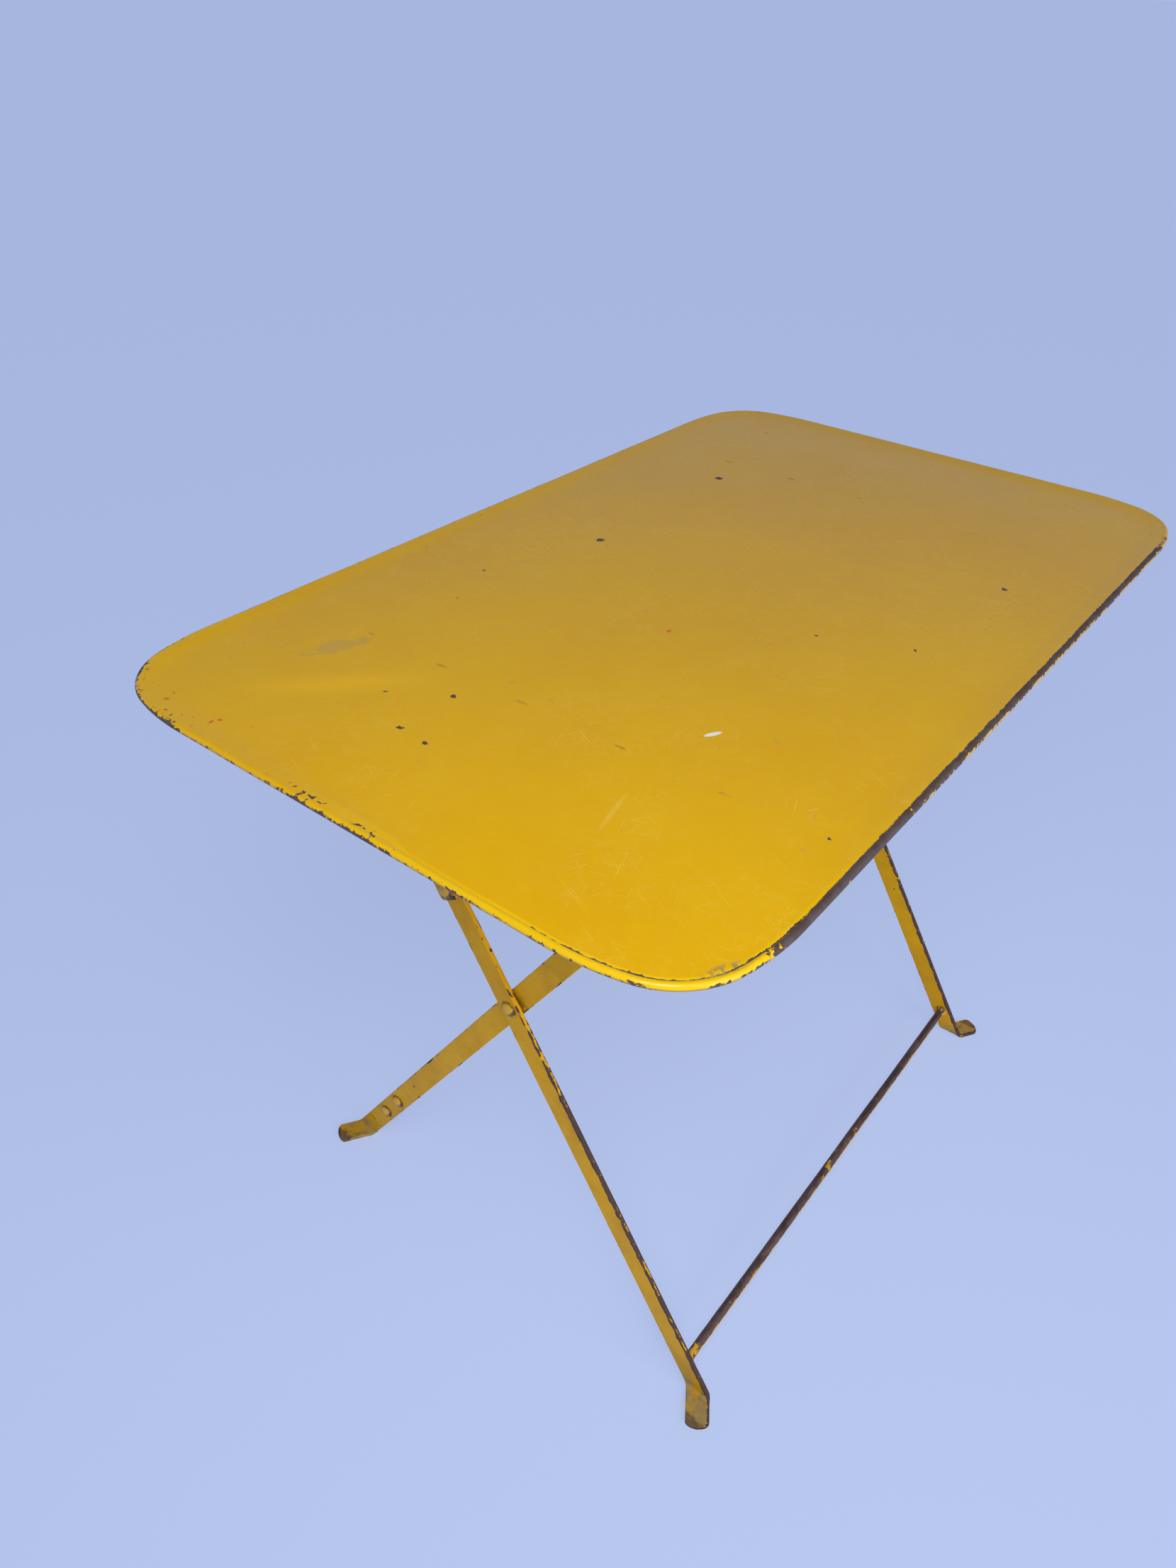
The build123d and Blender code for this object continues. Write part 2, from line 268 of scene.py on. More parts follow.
def roll_wear(x, y, angle, inset):
    """How worn the paint is at a spot near the edge: 0 is sound, 1 is bare."""
    front = fade(-y, top_high.y - 0.035, top_high.y - 0.010)
    front *= fade(x, -0.445, -0.385) * (1 - 0.80 * fade(x, 0.34, 0.46))
    left = fade(-x, top_high.x - 0.06, top_high.x - 0.03)
    near_corner = max(left * fade(-y, 0.12, 0.21), fade(-y, 0.27, 0.30) * (1 - fade(x, -0.40, -0.34)))
    knocked = left * fade(y, -0.058, -0.036) * (1 - fade(y, 0.045, 0.085))
    far_left = left * fade(y, 0.17, 0.205)
    if angle is None:
        near_rim = 1 - fade(inset, 0.006, 0.019)
        crease = 1 - fade(inset, 0.0064, 0.0078)
        wear = 0.12 + near_rim * (0.14 + 0.27 * knocked + 0.20 * far_left) + crease * 0.72 * near_corner
        return max(wear, front * 0.46 * (1 - fade(inset, 0.0058, 0.0085)))
    crease = 1 - min(1.0, abs(angle - crease_angle) / 26)
    outer = fade(angle, 120, 175)
    away = fade(max(x - top_high.x, y - top_high.y), -0.05, -0.02)
    wear = 0.27 + 0.22 * knocked + 0.24 * far_left + crease * 0.70 * near_corner
    wear += (0.30 + 0.2 * far_left) * outer
    wear += 0.36 * away * (1 - min(1.0, abs(angle - 118) / 40))
    under_front = 0.90 - 0.36 * fade(x, -0.28, -0.08)
    inner_front = 0.58 + 0.40 * fade(angle, 32, 62)
    bare_front = inner_front + (under_front - inner_front) * fade(angle, 128, 160)
    return wear + (bare_front - wear) * front


def skin_rings(mesh, rings):
    """Quads from each ring of vertices to the next."""
    count = len(rings[0])
    for one, other in zip(rings, rings[1:]):
        for index in range(count):
            after = (index + 1) % count
            mesh.faces.new((one[index], one[after], other[after], other[index]))


def top_sheet():
    """The sheet with its rolled edge, as one closed skin 1.2 mm thick."""
    stations = edge_stations()
    profile = roll_profile()
    mesh = bmesh.new()
    wear_layer = mesh.verts.layers.float.new("wear")
    rings = []
    for inset, height, angle in profile:
        ring = []
        for point, outward, run in stations:
            lump = 0.00022 * noise.noise(Vector((run / 0.05, inset / 0.004, 2.0)))
            spot = point - outward * (inset - lump)
            level = eased_height(inset, height, crease_sharpness(point.x, point.y))
            vertex = mesh.verts.new((spot.x, spot.y, level + 0.6 * lump))
            vertex[wear_layer] = roll_wear(spot.x, spot.y, angle, inset)
            ring.append(vertex)
        rings.append(ring)
    skin_rings(mesh, rings)

    count = len(stations)
    border = [vertex.co.to_2d() for vertex in rings[0]]
    inside = []
    reach_x = top_high.x - flat_margin - grid_pitch / 2
    reach_y = top_high.y - flat_margin - grid_pitch / 2
    columns, rows = round(2 * reach_x / grid_pitch), round(2 * reach_y / grid_pitch)
    for column in range(columns + 1):
        for row in range(rows + 1):
            spot = Vector((reach_x * (2 * column / columns - 1), reach_y * (2 * row / rows - 1)))
            if min((spot - edge).length_squared for edge in border) > (0.6 * grid_pitch) ** 2:
                inside.append(spot)
    loop = [(index, (index + 1) % count) for index in range(count)]
    outline = [list(range(count))]
    points, _, triangles, origins, _, _ = delaunay_2d_cdt(border + inside, loop, outline, 1, 1e-6)
    under_height = flat_height - sheet_thickness
    for ring, height, turn_over in ((rings[0], flat_height, False), (rings[-1], under_height, True)):
        corners = []
        for point, origin in zip(points, origins):
            if origin and origin[0] < count:
                corners.append(ring[origin[0]])
                continue
            vertex = mesh.verts.new((point.x, point.y, height + out_of_true(point.x, point.y)))
            inset = min(top_high.x - abs(point.x), top_high.y - abs(point.y))
            vertex[wear_layer] = roll_wear(point.x, point.y, None, inset)
            corners.append(vertex)
        for triangle in triangles:
            face = [corners[index] for index in triangle]
            mesh.faces.new(face[::-1] if turn_over else face)

    return finished_piece("top_sheet_skin", mesh)


def finished_piece(name, mesh):
    """Turns built geometry into a smooth-shaded object with clean outward normals."""
    bmesh.ops.recalc_face_normals(mesh, faces=mesh.faces)
    data = bpy.data.meshes.new(name)
    mesh.to_mesh(data)
    mesh.free()
    for face in data.polygons:
        face.use_smooth = True
    data.set_sharp_from_angle(angle=math.radians(38))
    piece = bpy.data.objects.new(name, data)
    bpy.context.scene.collection.objects.link(piece)
    return piece


def put_together(tree, operation, first, second):
    """Two values worked into one; either may be a plain number."""
    worked = shader_node(tree, "Math", operation=operation)
    for socket, value in zip(worked.inputs, (first, second)):
        give(tree, socket, value)
    return worked.outputs[0]


def plus(tree, first, second):
    return put_together(tree, "ADD", first, second)


def minus(tree, first, second):
    return put_together(tree, "SUBTRACT", first, second)


def times(tree, first, second):
    return put_together(tree, "MULTIPLY", first, second)


def larger(tree, first, second):
    return put_together(tree, "MAXIMUM", first, second)


def patches(tree, coordinates, scale, low, high, detail=4.0, roughness=0.6, least=0.0, most=1.0):
    """Random patches: least where the mottling is below low, most where it is above high."""
    return value_ramp(tree, cloud(tree, coordinates, scale, detail, roughness), low, high, least, most)


def painted_value(tree, name):
    """A value stored on the mesh, such as how worn each spot is."""
    return shader_node(tree, "Attribute", attribute_name=name).outputs["Fac"]


def open_group(name, inputs, outputs):
    """A named node group with its sockets: returns its tree, its inputs and its outputs."""
    tree = bpy.data.node_groups.new(name, "ShaderNodeTree")
    for socket_name, kind, default in inputs:
        socket = tree.interface.new_socket(socket_name, in_out="INPUT", socket_type="NodeSocket" + kind)
        if default is not None:
            socket.default_value = default
    for socket_name in outputs:
        tree.interface.new_socket(socket_name, in_out="OUTPUT", socket_type="NodeSocketFloat")
    return tree, tree.nodes.new("NodeGroupInput").outputs, tree.nodes.new("NodeGroupOutput").inputs


def place_group(tree, group, **values):
    """That group in a material, with its inputs set by name (spaces as underscores)."""
    placed = tree.nodes.new("ShaderNodeGroup")
    placed.node_tree = group
    for name, value in values.items():
        give(tree, placed.inputs[name.replace("_", " ").capitalize()], value)
    return placed.outputs


def chipped_paint_group():
    """Paint knocked off down to brown steel: the more worn a spot, the more of it is bare."""
    group, given, out = open_group(
        "chipped_paint",
        [("Coordinates", "Vector", None), ("Wear", "Float", 0.0), ("Scale", "Float", 220.0)],
        ["Bare", "Lip", "Rust"],
    )
    fine = cloud(group, given["Coordinates"], given["Scale"], 5.0, 0.62, 0.6)
    broad = cloud(group, given["Coordinates"], 34, 2)
    spread = times(group, minus(group, fine, 0.5), 1.5)
    drift = times(group, minus(group, broad, 0.5), 0.6)
    level = plus(group, plus(group, given["Wear"], spread), drift)
    bare = value_ramp(group, level, 0.635, 0.665)
    near = value_ramp(group, level, 0.595, 0.635)
    give(group, out["Bare"], bare)
    give(group, out["Lip"], minus(group, near, bare))
    give(group, out["Rust"], patches(group, given["Coordinates"], 420, 0.5, 0.62, detail=3))
    return group


def hair_scratches_group():
    """Fine scratches in several directions, gathered in some places."""
    group, given, out = open_group(
        "hair_scratches",
        [("Coordinates", "Vector", None), ("Amount", "Float", 0.5)],
        ["Scratches", "Scuff"],
    )
    lines = 0.0
    for number, turn in enumerate((0.35, 1.15, 1.9, 2.7)):
        run = stretched(group, given["Coordinates"], (0.030, 0.0011, 1), (0, 0, turn))
        shifted = shader_node(group, "VectorMath", operation="ADD")
        give(group, shifted.inputs[0], run)
        give(group, shifted.inputs[1], (number * 7.3, number * 3.1, number * 1.7))
        streak = value_ramp(group, cloud(group, shifted.outputs[0], 1.0, 2, 0.5, 0.3), 0.66, 0.70)
        lines = larger(group, lines, streak)
    gathered = patches(group, given["Coordinates"], 7, 0.42, 0.62, detail=3)
    gathered = times(group, gathered, given["Amount"])
    scuff = patches(group, given["Coordinates"], 60, 0.48, 0.66, detail=6, roughness=0.7)
    give(group, out["Scratches"], times(group, lines, gathered))
    give(group, out["Scuff"], times(group, scuff, gathered))
    return group


def spots_group():
    """Sparse round-ish spots, such as stone chips or splashes, of one size."""
    group, given, out = open_group(
        "stray_spots",
        [
            ("Coordinates", "Vector", None),
            ("Scale", "Float", 30.0),
            ("Share", "Float", 0.1),
            ("Size", "Float", 0.12),
        ],
        ["Spots"],
    )
    wobble = shader_node(group, "TexNoise")
    give(group, wobble.inputs["Scale"], 260.0)
    give(group, wobble.inputs["Vector"], given["Coordinates"])
    wander = shader_node(group, "VectorMath", operation="SCALE")
    give(group, wander.inputs[0], wobble.outputs["Color"])
    give(group, wander.inputs["Scale"], 0.006)
    nudged = shader_node(group, "VectorMath", operation="ADD")
    give(group, nudged.inputs[0], given["Coordinates"])
    give(group, nudged.inputs[1], wander.outputs[0])
    cells = shader_node(group, "TexVoronoi")
    give(group, cells.inputs["Vector"], nudged.outputs[0])
    give(group, cells.inputs["Scale"], given["Scale"])
    parts = shader_node(group, "SeparateColor")
    give(group, parts.inputs["Color"], cells.outputs["Color"])
    chosen = put_together(group, "LESS_THAN", parts.outputs["Red"], given["Share"])
    size = times(group, given["Size"], plus(group, parts.outputs["Green"], 0.4))
    within = put_together(group, "LESS_THAN", cells.outputs["Distance"], size)
    give(group, out["Spots"], times(group, chosen, within))
    return group


def local_patch_group():
    """A soft-edged patch at one place: 1 as far out as Core, 0 beyond Rim, both shares of Reach."""
    group, given, out = open_group(
        "local_patch",
        [
            ("Coordinates", "Vector", None),
            ("Centre", "Vector", None),
            ("Turn", "Vector", None),
            ("Reach", "Vector", None),
            ("Core", "Float", 0.35),
            ("Rim", "Float", 1.0),
        ],
        ["Patch"],
    )
    mapping = shader_node(group, "Mapping", vector_type="TEXTURE")
    sockets = ("Vector", "Location", "Rotation", "Scale")
    for socket, name in zip(sockets, ("Coordinates", "Centre", "Turn", "Reach")):
        give(group, mapping.inputs[socket], given[name])
    length = shader_node(group, "VectorMath", operation="LENGTH")
    give(group, length.inputs[0], mapping.outputs["Vector"])
    faded = value_ramp(group, length.outputs["Value"], given["Core"], given["Rim"], 1.0, 0.0)
    give(group, out["Patch"], faded)
    return group


chipped_paint = chipped_paint_group()
hair_scratches = hair_scratches_group()
stray_spots = spots_group()
local_patch = local_patch_group()

enamel_yellow, enamel_deep, enamel_pale = (0.74, 0.412, 0.0015), (0.71, 0.380, 0.0015), (0.77, 0.455, 0.004)
roll_highlight_lemon = (0.78, 0.49, 0.003)      # painted highlight: the lemon glare of reflected light on the roll at the near corner
golden_highlight = (0.88, 0.49, 0.001)     # painted highlight: a golden streak of reflected light on the flat
scratch_pale, scuff_pale, ghost_pale = (0.80, 0.58, 0.08), (0.72, 0.47, 0.03), (0.90, 0.62, 0.12)
smudge_brown, rubbed_green, chip_white = (0.42, 0.30, 0.10), (0.24, 0.20, 0.08), (0.82, 0.80, 0.74)
old_red = (0.64, 0.10, 0.006)           # an earlier coat, in the scratches
chip_lip = (0.48, 0.22, 0.02)           # thin paint round a chip
under_yellow, under_dull, under_stain = (0.52, 0.27, 0.006), (0.36, 0.18, 0.012), (0.20, 0.085, 0.025)
bare_brown, bare_grey, bare_rust = (0.075, 0.046, 0.042), (0.090, 0.070, 0.068), (0.12, 0.05, 0.025)
patch_depth = 0.1                       # patches reach through the sheet


def top_enamel():
    """The top's stove enamel with its marks, chips and bare edges; dull and stained underneath."""
    material, tree, shader = new_finish("top_enamel", 0.33)
    shader.inputs["Specular IOR Level"].default_value = 0.28
    place = own_coordinates(tree)
    fine = cloud(tree, place, 38, 6, 0.7)
    facing = shader_node(tree, "SeparateXYZ")
    give(tree, facing.inputs[0], shader_node(tree, "TexCoord").outputs["Normal"])
    upper = value_ramp(tree, facing.outputs["Z"], -0.25, 0.05)
    worn = painted_value(tree, "wear")

    def patch(x, y, reach_x, reach_y, turn=0.0, core=0.35, rim=1.0):
        """A soft patch on the flat."""
        placed = place_group(
            tree, local_patch, coordinates=place, centre=(x, y, flat_height),
            turn=(0, 0, turn), reach=(reach_x, reach_y, patch_depth), core=core, rim=rim,
        )
        return placed["Patch"]

    def upper_patch(*shape):
        """A patch that shows on the upper side only."""
        return times(tree, patch(*shape), upper)

    colour = blend_colours(tree, patches(tree, place, 3.2, 0.35, 0.7, detail=3), enamel_yellow, enamel_deep)
    colour = blend_colours(tree, value_ramp(tree, fine, 0.45, 0.75, 0, 0.35), colour, enamel_pale)
    # painted highlight: lemon glare on the roll at the near corner, which is also made glossier there
    near_roll_highlight = times(tree, patch(-0.45, -0.25, 0.20, 0.38, 0.0, 0.3), value_ramp(tree, worn, 0.235, 0.27))
    colour = blend_colours(tree, times(tree, near_roll_highlight, 0.75), colour, roll_highlight_lemon)

    scratches = place_group(tree, hair_scratches, coordinates=place, amount=0.42)
    colour = blend_colours(tree, scratches["Scratches"], colour, scratch_pale)
    colour = blend_colours(tree, times(tree, scratches["Scuff"], 0.3), colour, scuff_pale)

    # painted highlight: a golden streak of reflected light beside the smudge
    highlight_streak = upper_patch(-0.372, 0.142, 0.110, 0.024, -0.75, 0.0)
    colour = blend_colours(tree, times(tree, highlight_streak, 0.6), colour, golden_highlight)
    ragged = times(tree, minus(tree, cloud(tree, place, 46, 5), 0.5), 2.6)
    smudge = plus(tree, upper_patch(-0.328, 0.190, 0.046, 0.017, -0.35, 0.1), ragged)
    smudge = value_ramp(tree, smudge, 0.42, 0.62)
    colour = blend_colours(tree, times(tree, smudge, 0.38), colour, smudge_brown)
    ghost = upper_patch(-0.365, -0.138, 0.003, 0.032, -1.35)
    colour = blend_colours(tree, times(tree, ghost, 0.22), colour, ghost_pale)
    white = upper_patch(-0.233, -0.137, 0.0095, 0.0028, -0.5, 0.7, 0.95)
    colour = blend_colours(tree, white, colour, chip_white)
    rubbed = upper_patch(-0.447, -0.286, 0.022, 0.0065, -0.5)
    rubbed = times(tree, rubbed, patches(tree, place, 240, 0.42, 0.56, detail=5))
    colour = blend_colours(tree, times(tree, rubbed, 0.75), colour, rubbed_green)

    few_reds = place_group(tree, stray_spots, coordinates=place, scale=26.0, share=0.10, size=0.042)
    corner_reds = place_group(tree, stray_spots, coordinates=place, scale=130.0, share=0.75, size=0.22)
    at_far_left = upper_patch(-0.476, 0.190, 0.020, 0.075, -0.10, 0.5)
    reds = larger(tree, few_reds["Spots"], times(tree, corner_reds["Spots"], at_far_left))
    colour = blend_colours(tree, times(tree, reds, 0.9), colour, old_red)

    dull = blend_colours(tree, value_ramp(tree, fine, 0.42, 0.66), under_yellow, under_dull)
    stains = patches(tree, place, 11, 0.56, 0.66, detail=6, roughness=0.68, most=0.7)
    dull = blend_colours(tree, stains, dull, under_stain)
    colour = blend_colours(tree, upper, dull, colour)

    pits = place_group(tree, stray_spots, coordinates=place, scale=17.0, share=0.42, size=0.060)
    specks = place_group(tree, stray_spots, coordinates=place, scale=31.0, share=0.13, size=0.062)
    chips = place_group(tree, chipped_paint, coordinates=place, wear=worn, scale=185.0)
    bare = larger(tree, chips["Bare"], larger(tree, pits["Spots"], specks["Spots"]))
    metal = blend_colours(tree, patches(tree, place, 90, 0.4, 0.62), bare_brown, bare_grey)
    metal = blend_colours(tree, times(tree, chips["Rust"], 0.5), metal, bare_rust)
    colour = blend_colours(tree, times(tree, chips["Lip"], 0.35), colour, chip_lip)
    give(tree, shader.inputs["Base Color"], blend_colours(tree, bare, colour, metal))

    sheen = patches(tree, place, 14, 0.35, 0.7, detail=5, roughness=0.65, least=0.24, most=0.31)
    sheen = plus(tree, sheen, times(tree, scratches["Scuff"], 0.12))
    sheen = plus(tree, sheen, times(tree, bare, 0.22))
    give(tree, shader.inputs["Roughness"], minus(tree, sheen, times(tree, near_roll_highlight, 0.10)))
    orange_peel = times(tree, cloud(tree, place, 300, 2), 0.022)
    height = minus(tree, minus(tree, orange_peel, bare), times(tree, scratches["Scratches"], 0.05))
    raise_surface(tree, shader, height, 0.00022)
    return material


sheet = top_sheet()
put_finish(sheet, top_enamel())
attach(sheet, "tabletop")
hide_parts("top_sheet")


# ---- legs: flat bar with a bent foot ----
# Every leg is 25 x 5 mm flat steel bar with eased arrises. Pair A is one bar
# from its foot pad to a lap under the hinge strap. The foot is bent square
# across the slope, so the pad runs on skewed. Brushed or dipped yellow paint
# is worn through along every arris.
hinge = Vector(frame["joints"][0]["pos_m"])
crossing = Vector(frame["joints"][1]["pos_m"])
slope = math.atan2(hinge.z - crossing.z, hinge.y - crossing.y)
rise, reach = math.sin(slope), math.cos(slope)
foot_reach = crossing.z * reach / rise
bend_radius = 0.004
arris_radius = 0.0007
lean_back, lean_front = 1, -1
bar_yellow, bar_yellow_deep = (0.80, 0.405, 0.002), (0.68, 0.325, 0.002)
bar_yellow_brushed = (0.80, 0.43, 0.004)
joint_grime_and_shade, hand_dirt = (0.13, 0.065, 0.015), (0.36, 0.18, 0.008)
pad_khaki, pad_ochre, pad_scraped = (0.31, 0.22, 0.085), (0.50, 0.27, 0.014), (0.115, 0.070, 0.048)
bar_rust = (0.11, 0.052, 0.03)


def bar_section(half_width, half_thickness):
    """Points round a bar's section with eased arrises: (across, through, how near an arris)."""
    ease = min(arris_radius, half_width * 0.4, half_thickness * 0.4)
    inner_steps = [min(0.0018, half_width * 0.25), min(0.0045, half_width * 0.5)]
    points = []
    for quarter, (across, through) in enumerate(((1, 1), (-1, 1), (-1, -1), (1, -1))):
        for step in range(4):
            turn = math.pi / 2 * (quarter + step / 3)
            points.append((
                across * (half_width - ease) + ease * math.cos(turn),
                through * (half_thickness - ease) + ease * math.sin(turn),
                1.0,
            ))
        if quarter % 2:
            points.append((across * half_width, 0.0, 0.5))
            continue
        for inset, closeness in ((inner_steps[0], 0.45), (inner_steps[1], 0.0), (half_width, 0.0)):
            points.append((across * (half_width - inset), through * half_thickness, closeness))
        for inset, closeness in reversed(list(zip(inner_steps, (0.45, 0.0)))):
            points.append((-across * (half_width - inset), through * half_thickness, closeness))
    return points


def bar_stations(start, end, start_round, end_round, half_width, spacing=0.012):
    """(distance, half width, pinch, near an end) along a bar whose corners are rounded."""
    arc_steps = 7
    nearly = 0.985          # of the quarter turn, so that the end keeps a little width
    end_pinch = 0.0006      # how much the arrises ease the very end
    end_gap = 0.0005
    stations = [(start, half_width - start_round * nearly, end_pinch, 1.0)]
    for step in range(arc_steps, -1, -1):
        turn = math.pi / 2 * nearly * step / arc_steps
        distance = start + start_round * (1 - math.sin(turn)) + end_gap
        width = half_width - start_round * (1 - math.cos(turn))
        stations.append((distance, width, 0.0, 1.0 if step else 0.4))
    low, high = stations[-1][0] + 0.002, end - end_round - 0.0025
    count = max(2, round((high - low) / spacing))
    for step in range(count + 1):
        stations.append((low + (high - low) * step / count, half_width, 0.0, 0.0))
    for step in range(arc_steps + 1):
        turn = math.pi / 2 * nearly * step / arc_steps
        distance = end - end_round * (1 - math.sin(turn)) - end_gap
        width = half_width - end_round * (1 - math.cos(turn))
        stations.append((distance, width, 0.0, 1.0 if step else 0.4))
    stations.append((end, half_width - end_round * nearly, end_pinch, 1.0))
    return stations


def bar_wear(lean, distance, across, closeness):
    """How worn a leg's paint is: worst on the arrises and low on the edge that looks up."""
    wear = 0.16 + 0.38 * closeness
    if lean == lean_back and across > 0.8 * bar_half_width:
        wear += 0.42 * (1 - fade(distance, 0.36, 0.50))
    return wear


def close_ends(mesh, rings):
    """A cap on the first and on the last ring."""
    mesh.faces.new(rings[0][::-1])
    mesh.faces.new(rings[-1])


def swept_bar(name, side, lean, stations, section_of, place):
    """Closed skin over a row of sections; place turns (distance, across, through) into a point."""
    mesh = bmesh.new()
    layer = mesh.verts.layers.float.new("wear")
    rings = []
    for distance, half_width, pinch, near_end in stations:
        ring = []
        for across, through, near_arris in section_of(half_width, pinch):
            ding = 0.00018 * noise.noise(Vector((distance / 0.02, across / 0.01, through / 0.01)))
            x, y, z = place(distance, across, through * (1 + ding / 0.0025))
            vertex = mesh.verts.new((side * x, y, z))
            vertex[layer] = bar_wear(lean, distance, across, max(near_arris, near_end))
            ring.append(vertex)
        rings.append(ring)
    skin_rings(mesh, rings)
    close_ends(mesh, rings)
    return finished_piece(name, mesh)


def bar_with_foot(name, side, lean, node, end):
    """A flat bar that ends below in a bent and skewed foot pad."""
    low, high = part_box(node)
    x_inner, pad_tip_x = sorted((abs(low.x), abs(high.x)))
    half_thickness = bar_thickness / 2
    bend_height = bar_thickness + bend_radius
    neutral = bend_radius + half_thickness
    arc_length = neutral * math.pi / 2
    y_bend = lean * ((bend_height - arc_length / 2) * reach / rise - foot_reach)
    pad_run = (pad_tip_x - x_inner - bend_height + arc_length / 2) / rise
    leg_offset = (bend_height - arc_length / 2) / rise
    pad_bulge, bulge_reach = 0.0045, 0.014      # the worn, rounded tip of the pad
    pad_corner, lap_corner = 0.0022, 0.0008
    bend_zone, bend_spacing, bend_stations = 0.018, 0.0012, 31

    def section(half_width, pinch):
        return bar_section(half_width, half_thickness - pinch)

    def place(distance, across, through):
        bulge = pad_bulge * min(1.0, abs(across) / bar_half_width) ** 2
        distance += bulge * max(0.0, 1 - (distance + pad_run) / bulge_reach)
        depth = half_thickness + through
        climb = distance * rise + across * reach
        y = y_bend + lean * (distance * reach - across * rise)
        if climb > arc_length / 2:
            return x_inner + depth, y, bend_height + climb - arc_length / 2
        if climb < -arc_length / 2:
            return x_inner + bend_height - arc_length / 2 - climb, y, depth
        turn = (arc_length / 2 - climb) / neutral
        radius = bend_height - depth
        x = x_inner + bend_height - radius * math.cos(turn)
        return x, y, bend_height - radius * math.sin(turn)

    stations = bar_stations(-pad_run, end - leg_offset, pad_corner, lap_corner, bar_half_width)
    close = [
        (-bend_zone + bend_spacing * step, bar_half_width, 0.0, 0.0) for step in range(bend_stations)
    ]
    stations = [s for s in stations if not close[0][0] - 0.001 < s[0] < close[-1][0] + 0.004] + close
    stations.sort(key=lambda station: station[0])
    return swept_bar(name, side, lean, stations, section, place)


def grime_group():
    """Dirt and handling: darker clouds, heavier low down."""
    group, given, out = open_group(
        "leg_grime",
        [("Coordinates", "Vector", None), ("Amount", "Float", 0.5)],
        ["Grime", "Foot"],
    )
    parts = shader_node(group, "SeparateXYZ")
    give(group, parts.inputs[0], given["Coordinates"])
    clouds = patches(group, given["Coordinates"], 26, 0.42, 0.68, detail=6, roughness=0.68)
    low_down = value_ramp(group, parts.outputs["Z"], 0.0, 0.16, 0.7, 0.0)
    uneven = times(group, cloud(group, given["Coordinates"], 80, 5, 0.7), 0.05)
    ragged_height = minus(group, parts.outputs["Z"], uneven)
    give(group, out["Grime"], times(group, plus(group, clouds, low_down), given["Amount"]))
    give(group, out["Foot"], value_ramp(group, ragged_height, -0.024, 0.004, 1.0, 0.0))
    return group


leg_grime = grime_group()


def leg_enamel(name, lean, pad_tip, grime_and_shade_spots):
    """Yellow paint on the legs, worn dark along the arrises, dirty at the feet, with grime and painted shade round
    the rivets and where the legs cross.
    """
    material, tree, shader = new_finish(name, 0.42)
    shader.inputs["Specular IOR Level"].default_value = 0.12
    place = own_coordinates(tree)
    along = stretched(tree, place, (1, 2.6, 1), (lean * slope, 0, 0))
    streaks = cloud(tree, along, 70, 5, 0.65)
    colour = blend_colours(tree, patches(tree, place, 9, 0.35, 0.7), bar_yellow, bar_yellow_deep)
    colour = blend_colours(tree, value_ramp(tree, streaks, 0.5, 0.75, 0, 0.25), colour, bar_yellow_brushed)
    ragged = times(tree, patches(tree, place, 120, 0.34, 0.52, detail=5, roughness=0.7), 0.8)
    # grime and painted shade: dark spots round each rivet and where the legs cross
    for y, z, core, radius in grime_and_shade_spots:
        spot = place_group(
            tree, local_patch, coordinates=place, centre=(0, y, z),
            reach=(right_through, radius, radius), core=core, rim=1.0,
        )
        colour = blend_colours(tree, times(tree, spot["Patch"], ragged), colour, joint_grime_and_shade)
    grime = place_group(tree, leg_grime, coordinates=place, amount=0.55)
    colour = blend_colours(tree, times(tree, grime["Grime"], 0.5), colour, hand_dirt)

    pad = blend_colours(tree, patches(tree, place, 55, 0.44, 0.58), pad_khaki, pad_ochre)
    scraped = patches(tree, place, 95, 0.54, 0.62, detail=6, roughness=0.72, most=0.45)
    outward = shader_node(tree, "SeparateXYZ")
    give(tree, outward.inputs[0], place)
    from_middle = put_together(tree, "ABSOLUTE", outward.outputs["X"], 0.0)
    ragged_tip = plus(tree, from_middle, times(tree, cloud(tree, place, 110, 4), 0.02))
    scraped_tip = value_ramp(tree, ragged_tip, pad_tip + 0.001, pad_tip + 0.005, 0, 0.85)
    pad = blend_colours(tree, larger(tree, scraped, scraped_tip), pad, pad_scraped)
    foot_dirt = patches(tree, place, 130, 0.30, 0.50, detail=6, roughness=0.7, least=0.55)
    foot_dirt = times(tree, grime["Foot"], foot_dirt)
    colour = blend_colours(tree, foot_dirt, colour, pad)

    chips = place_group(
        tree, chipped_paint, coordinates=along, wear=painted_value(tree, "wear"), scale=190.0
    )
    pits = place_group(tree, stray_spots, coordinates=place, scale=34.0, share=0.22, size=0.05)
    bare = larger(tree, chips["Bare"], pits["Spots"])
    metal = blend_colours(tree, chips["Rust"], bare_brown, bar_rust)
    give(tree, shader.inputs["Base Color"], blend_colours(tree, bare, colour, metal))

    sheen = value_ramp(tree, streaks, 0.35, 0.7, 0.36, 0.50)
    sheen = plus(tree, sheen, times(tree, foot_dirt, 0.3))
    give(tree, shader.inputs["Roughness"], plus(tree, sheen, times(tree, bare, 0.18)))
    raise_surface(tree, shader, minus(tree, times(tree, streaks, 0.16), bare), 0.00025)
    return material


strap_low, strap_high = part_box("hinge_strap_right")
leg_low, leg_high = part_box("leg_b_right")
bar_thickness = leg_high.x - leg_low.x
bar_half_width = strap_high.z - hinge.z

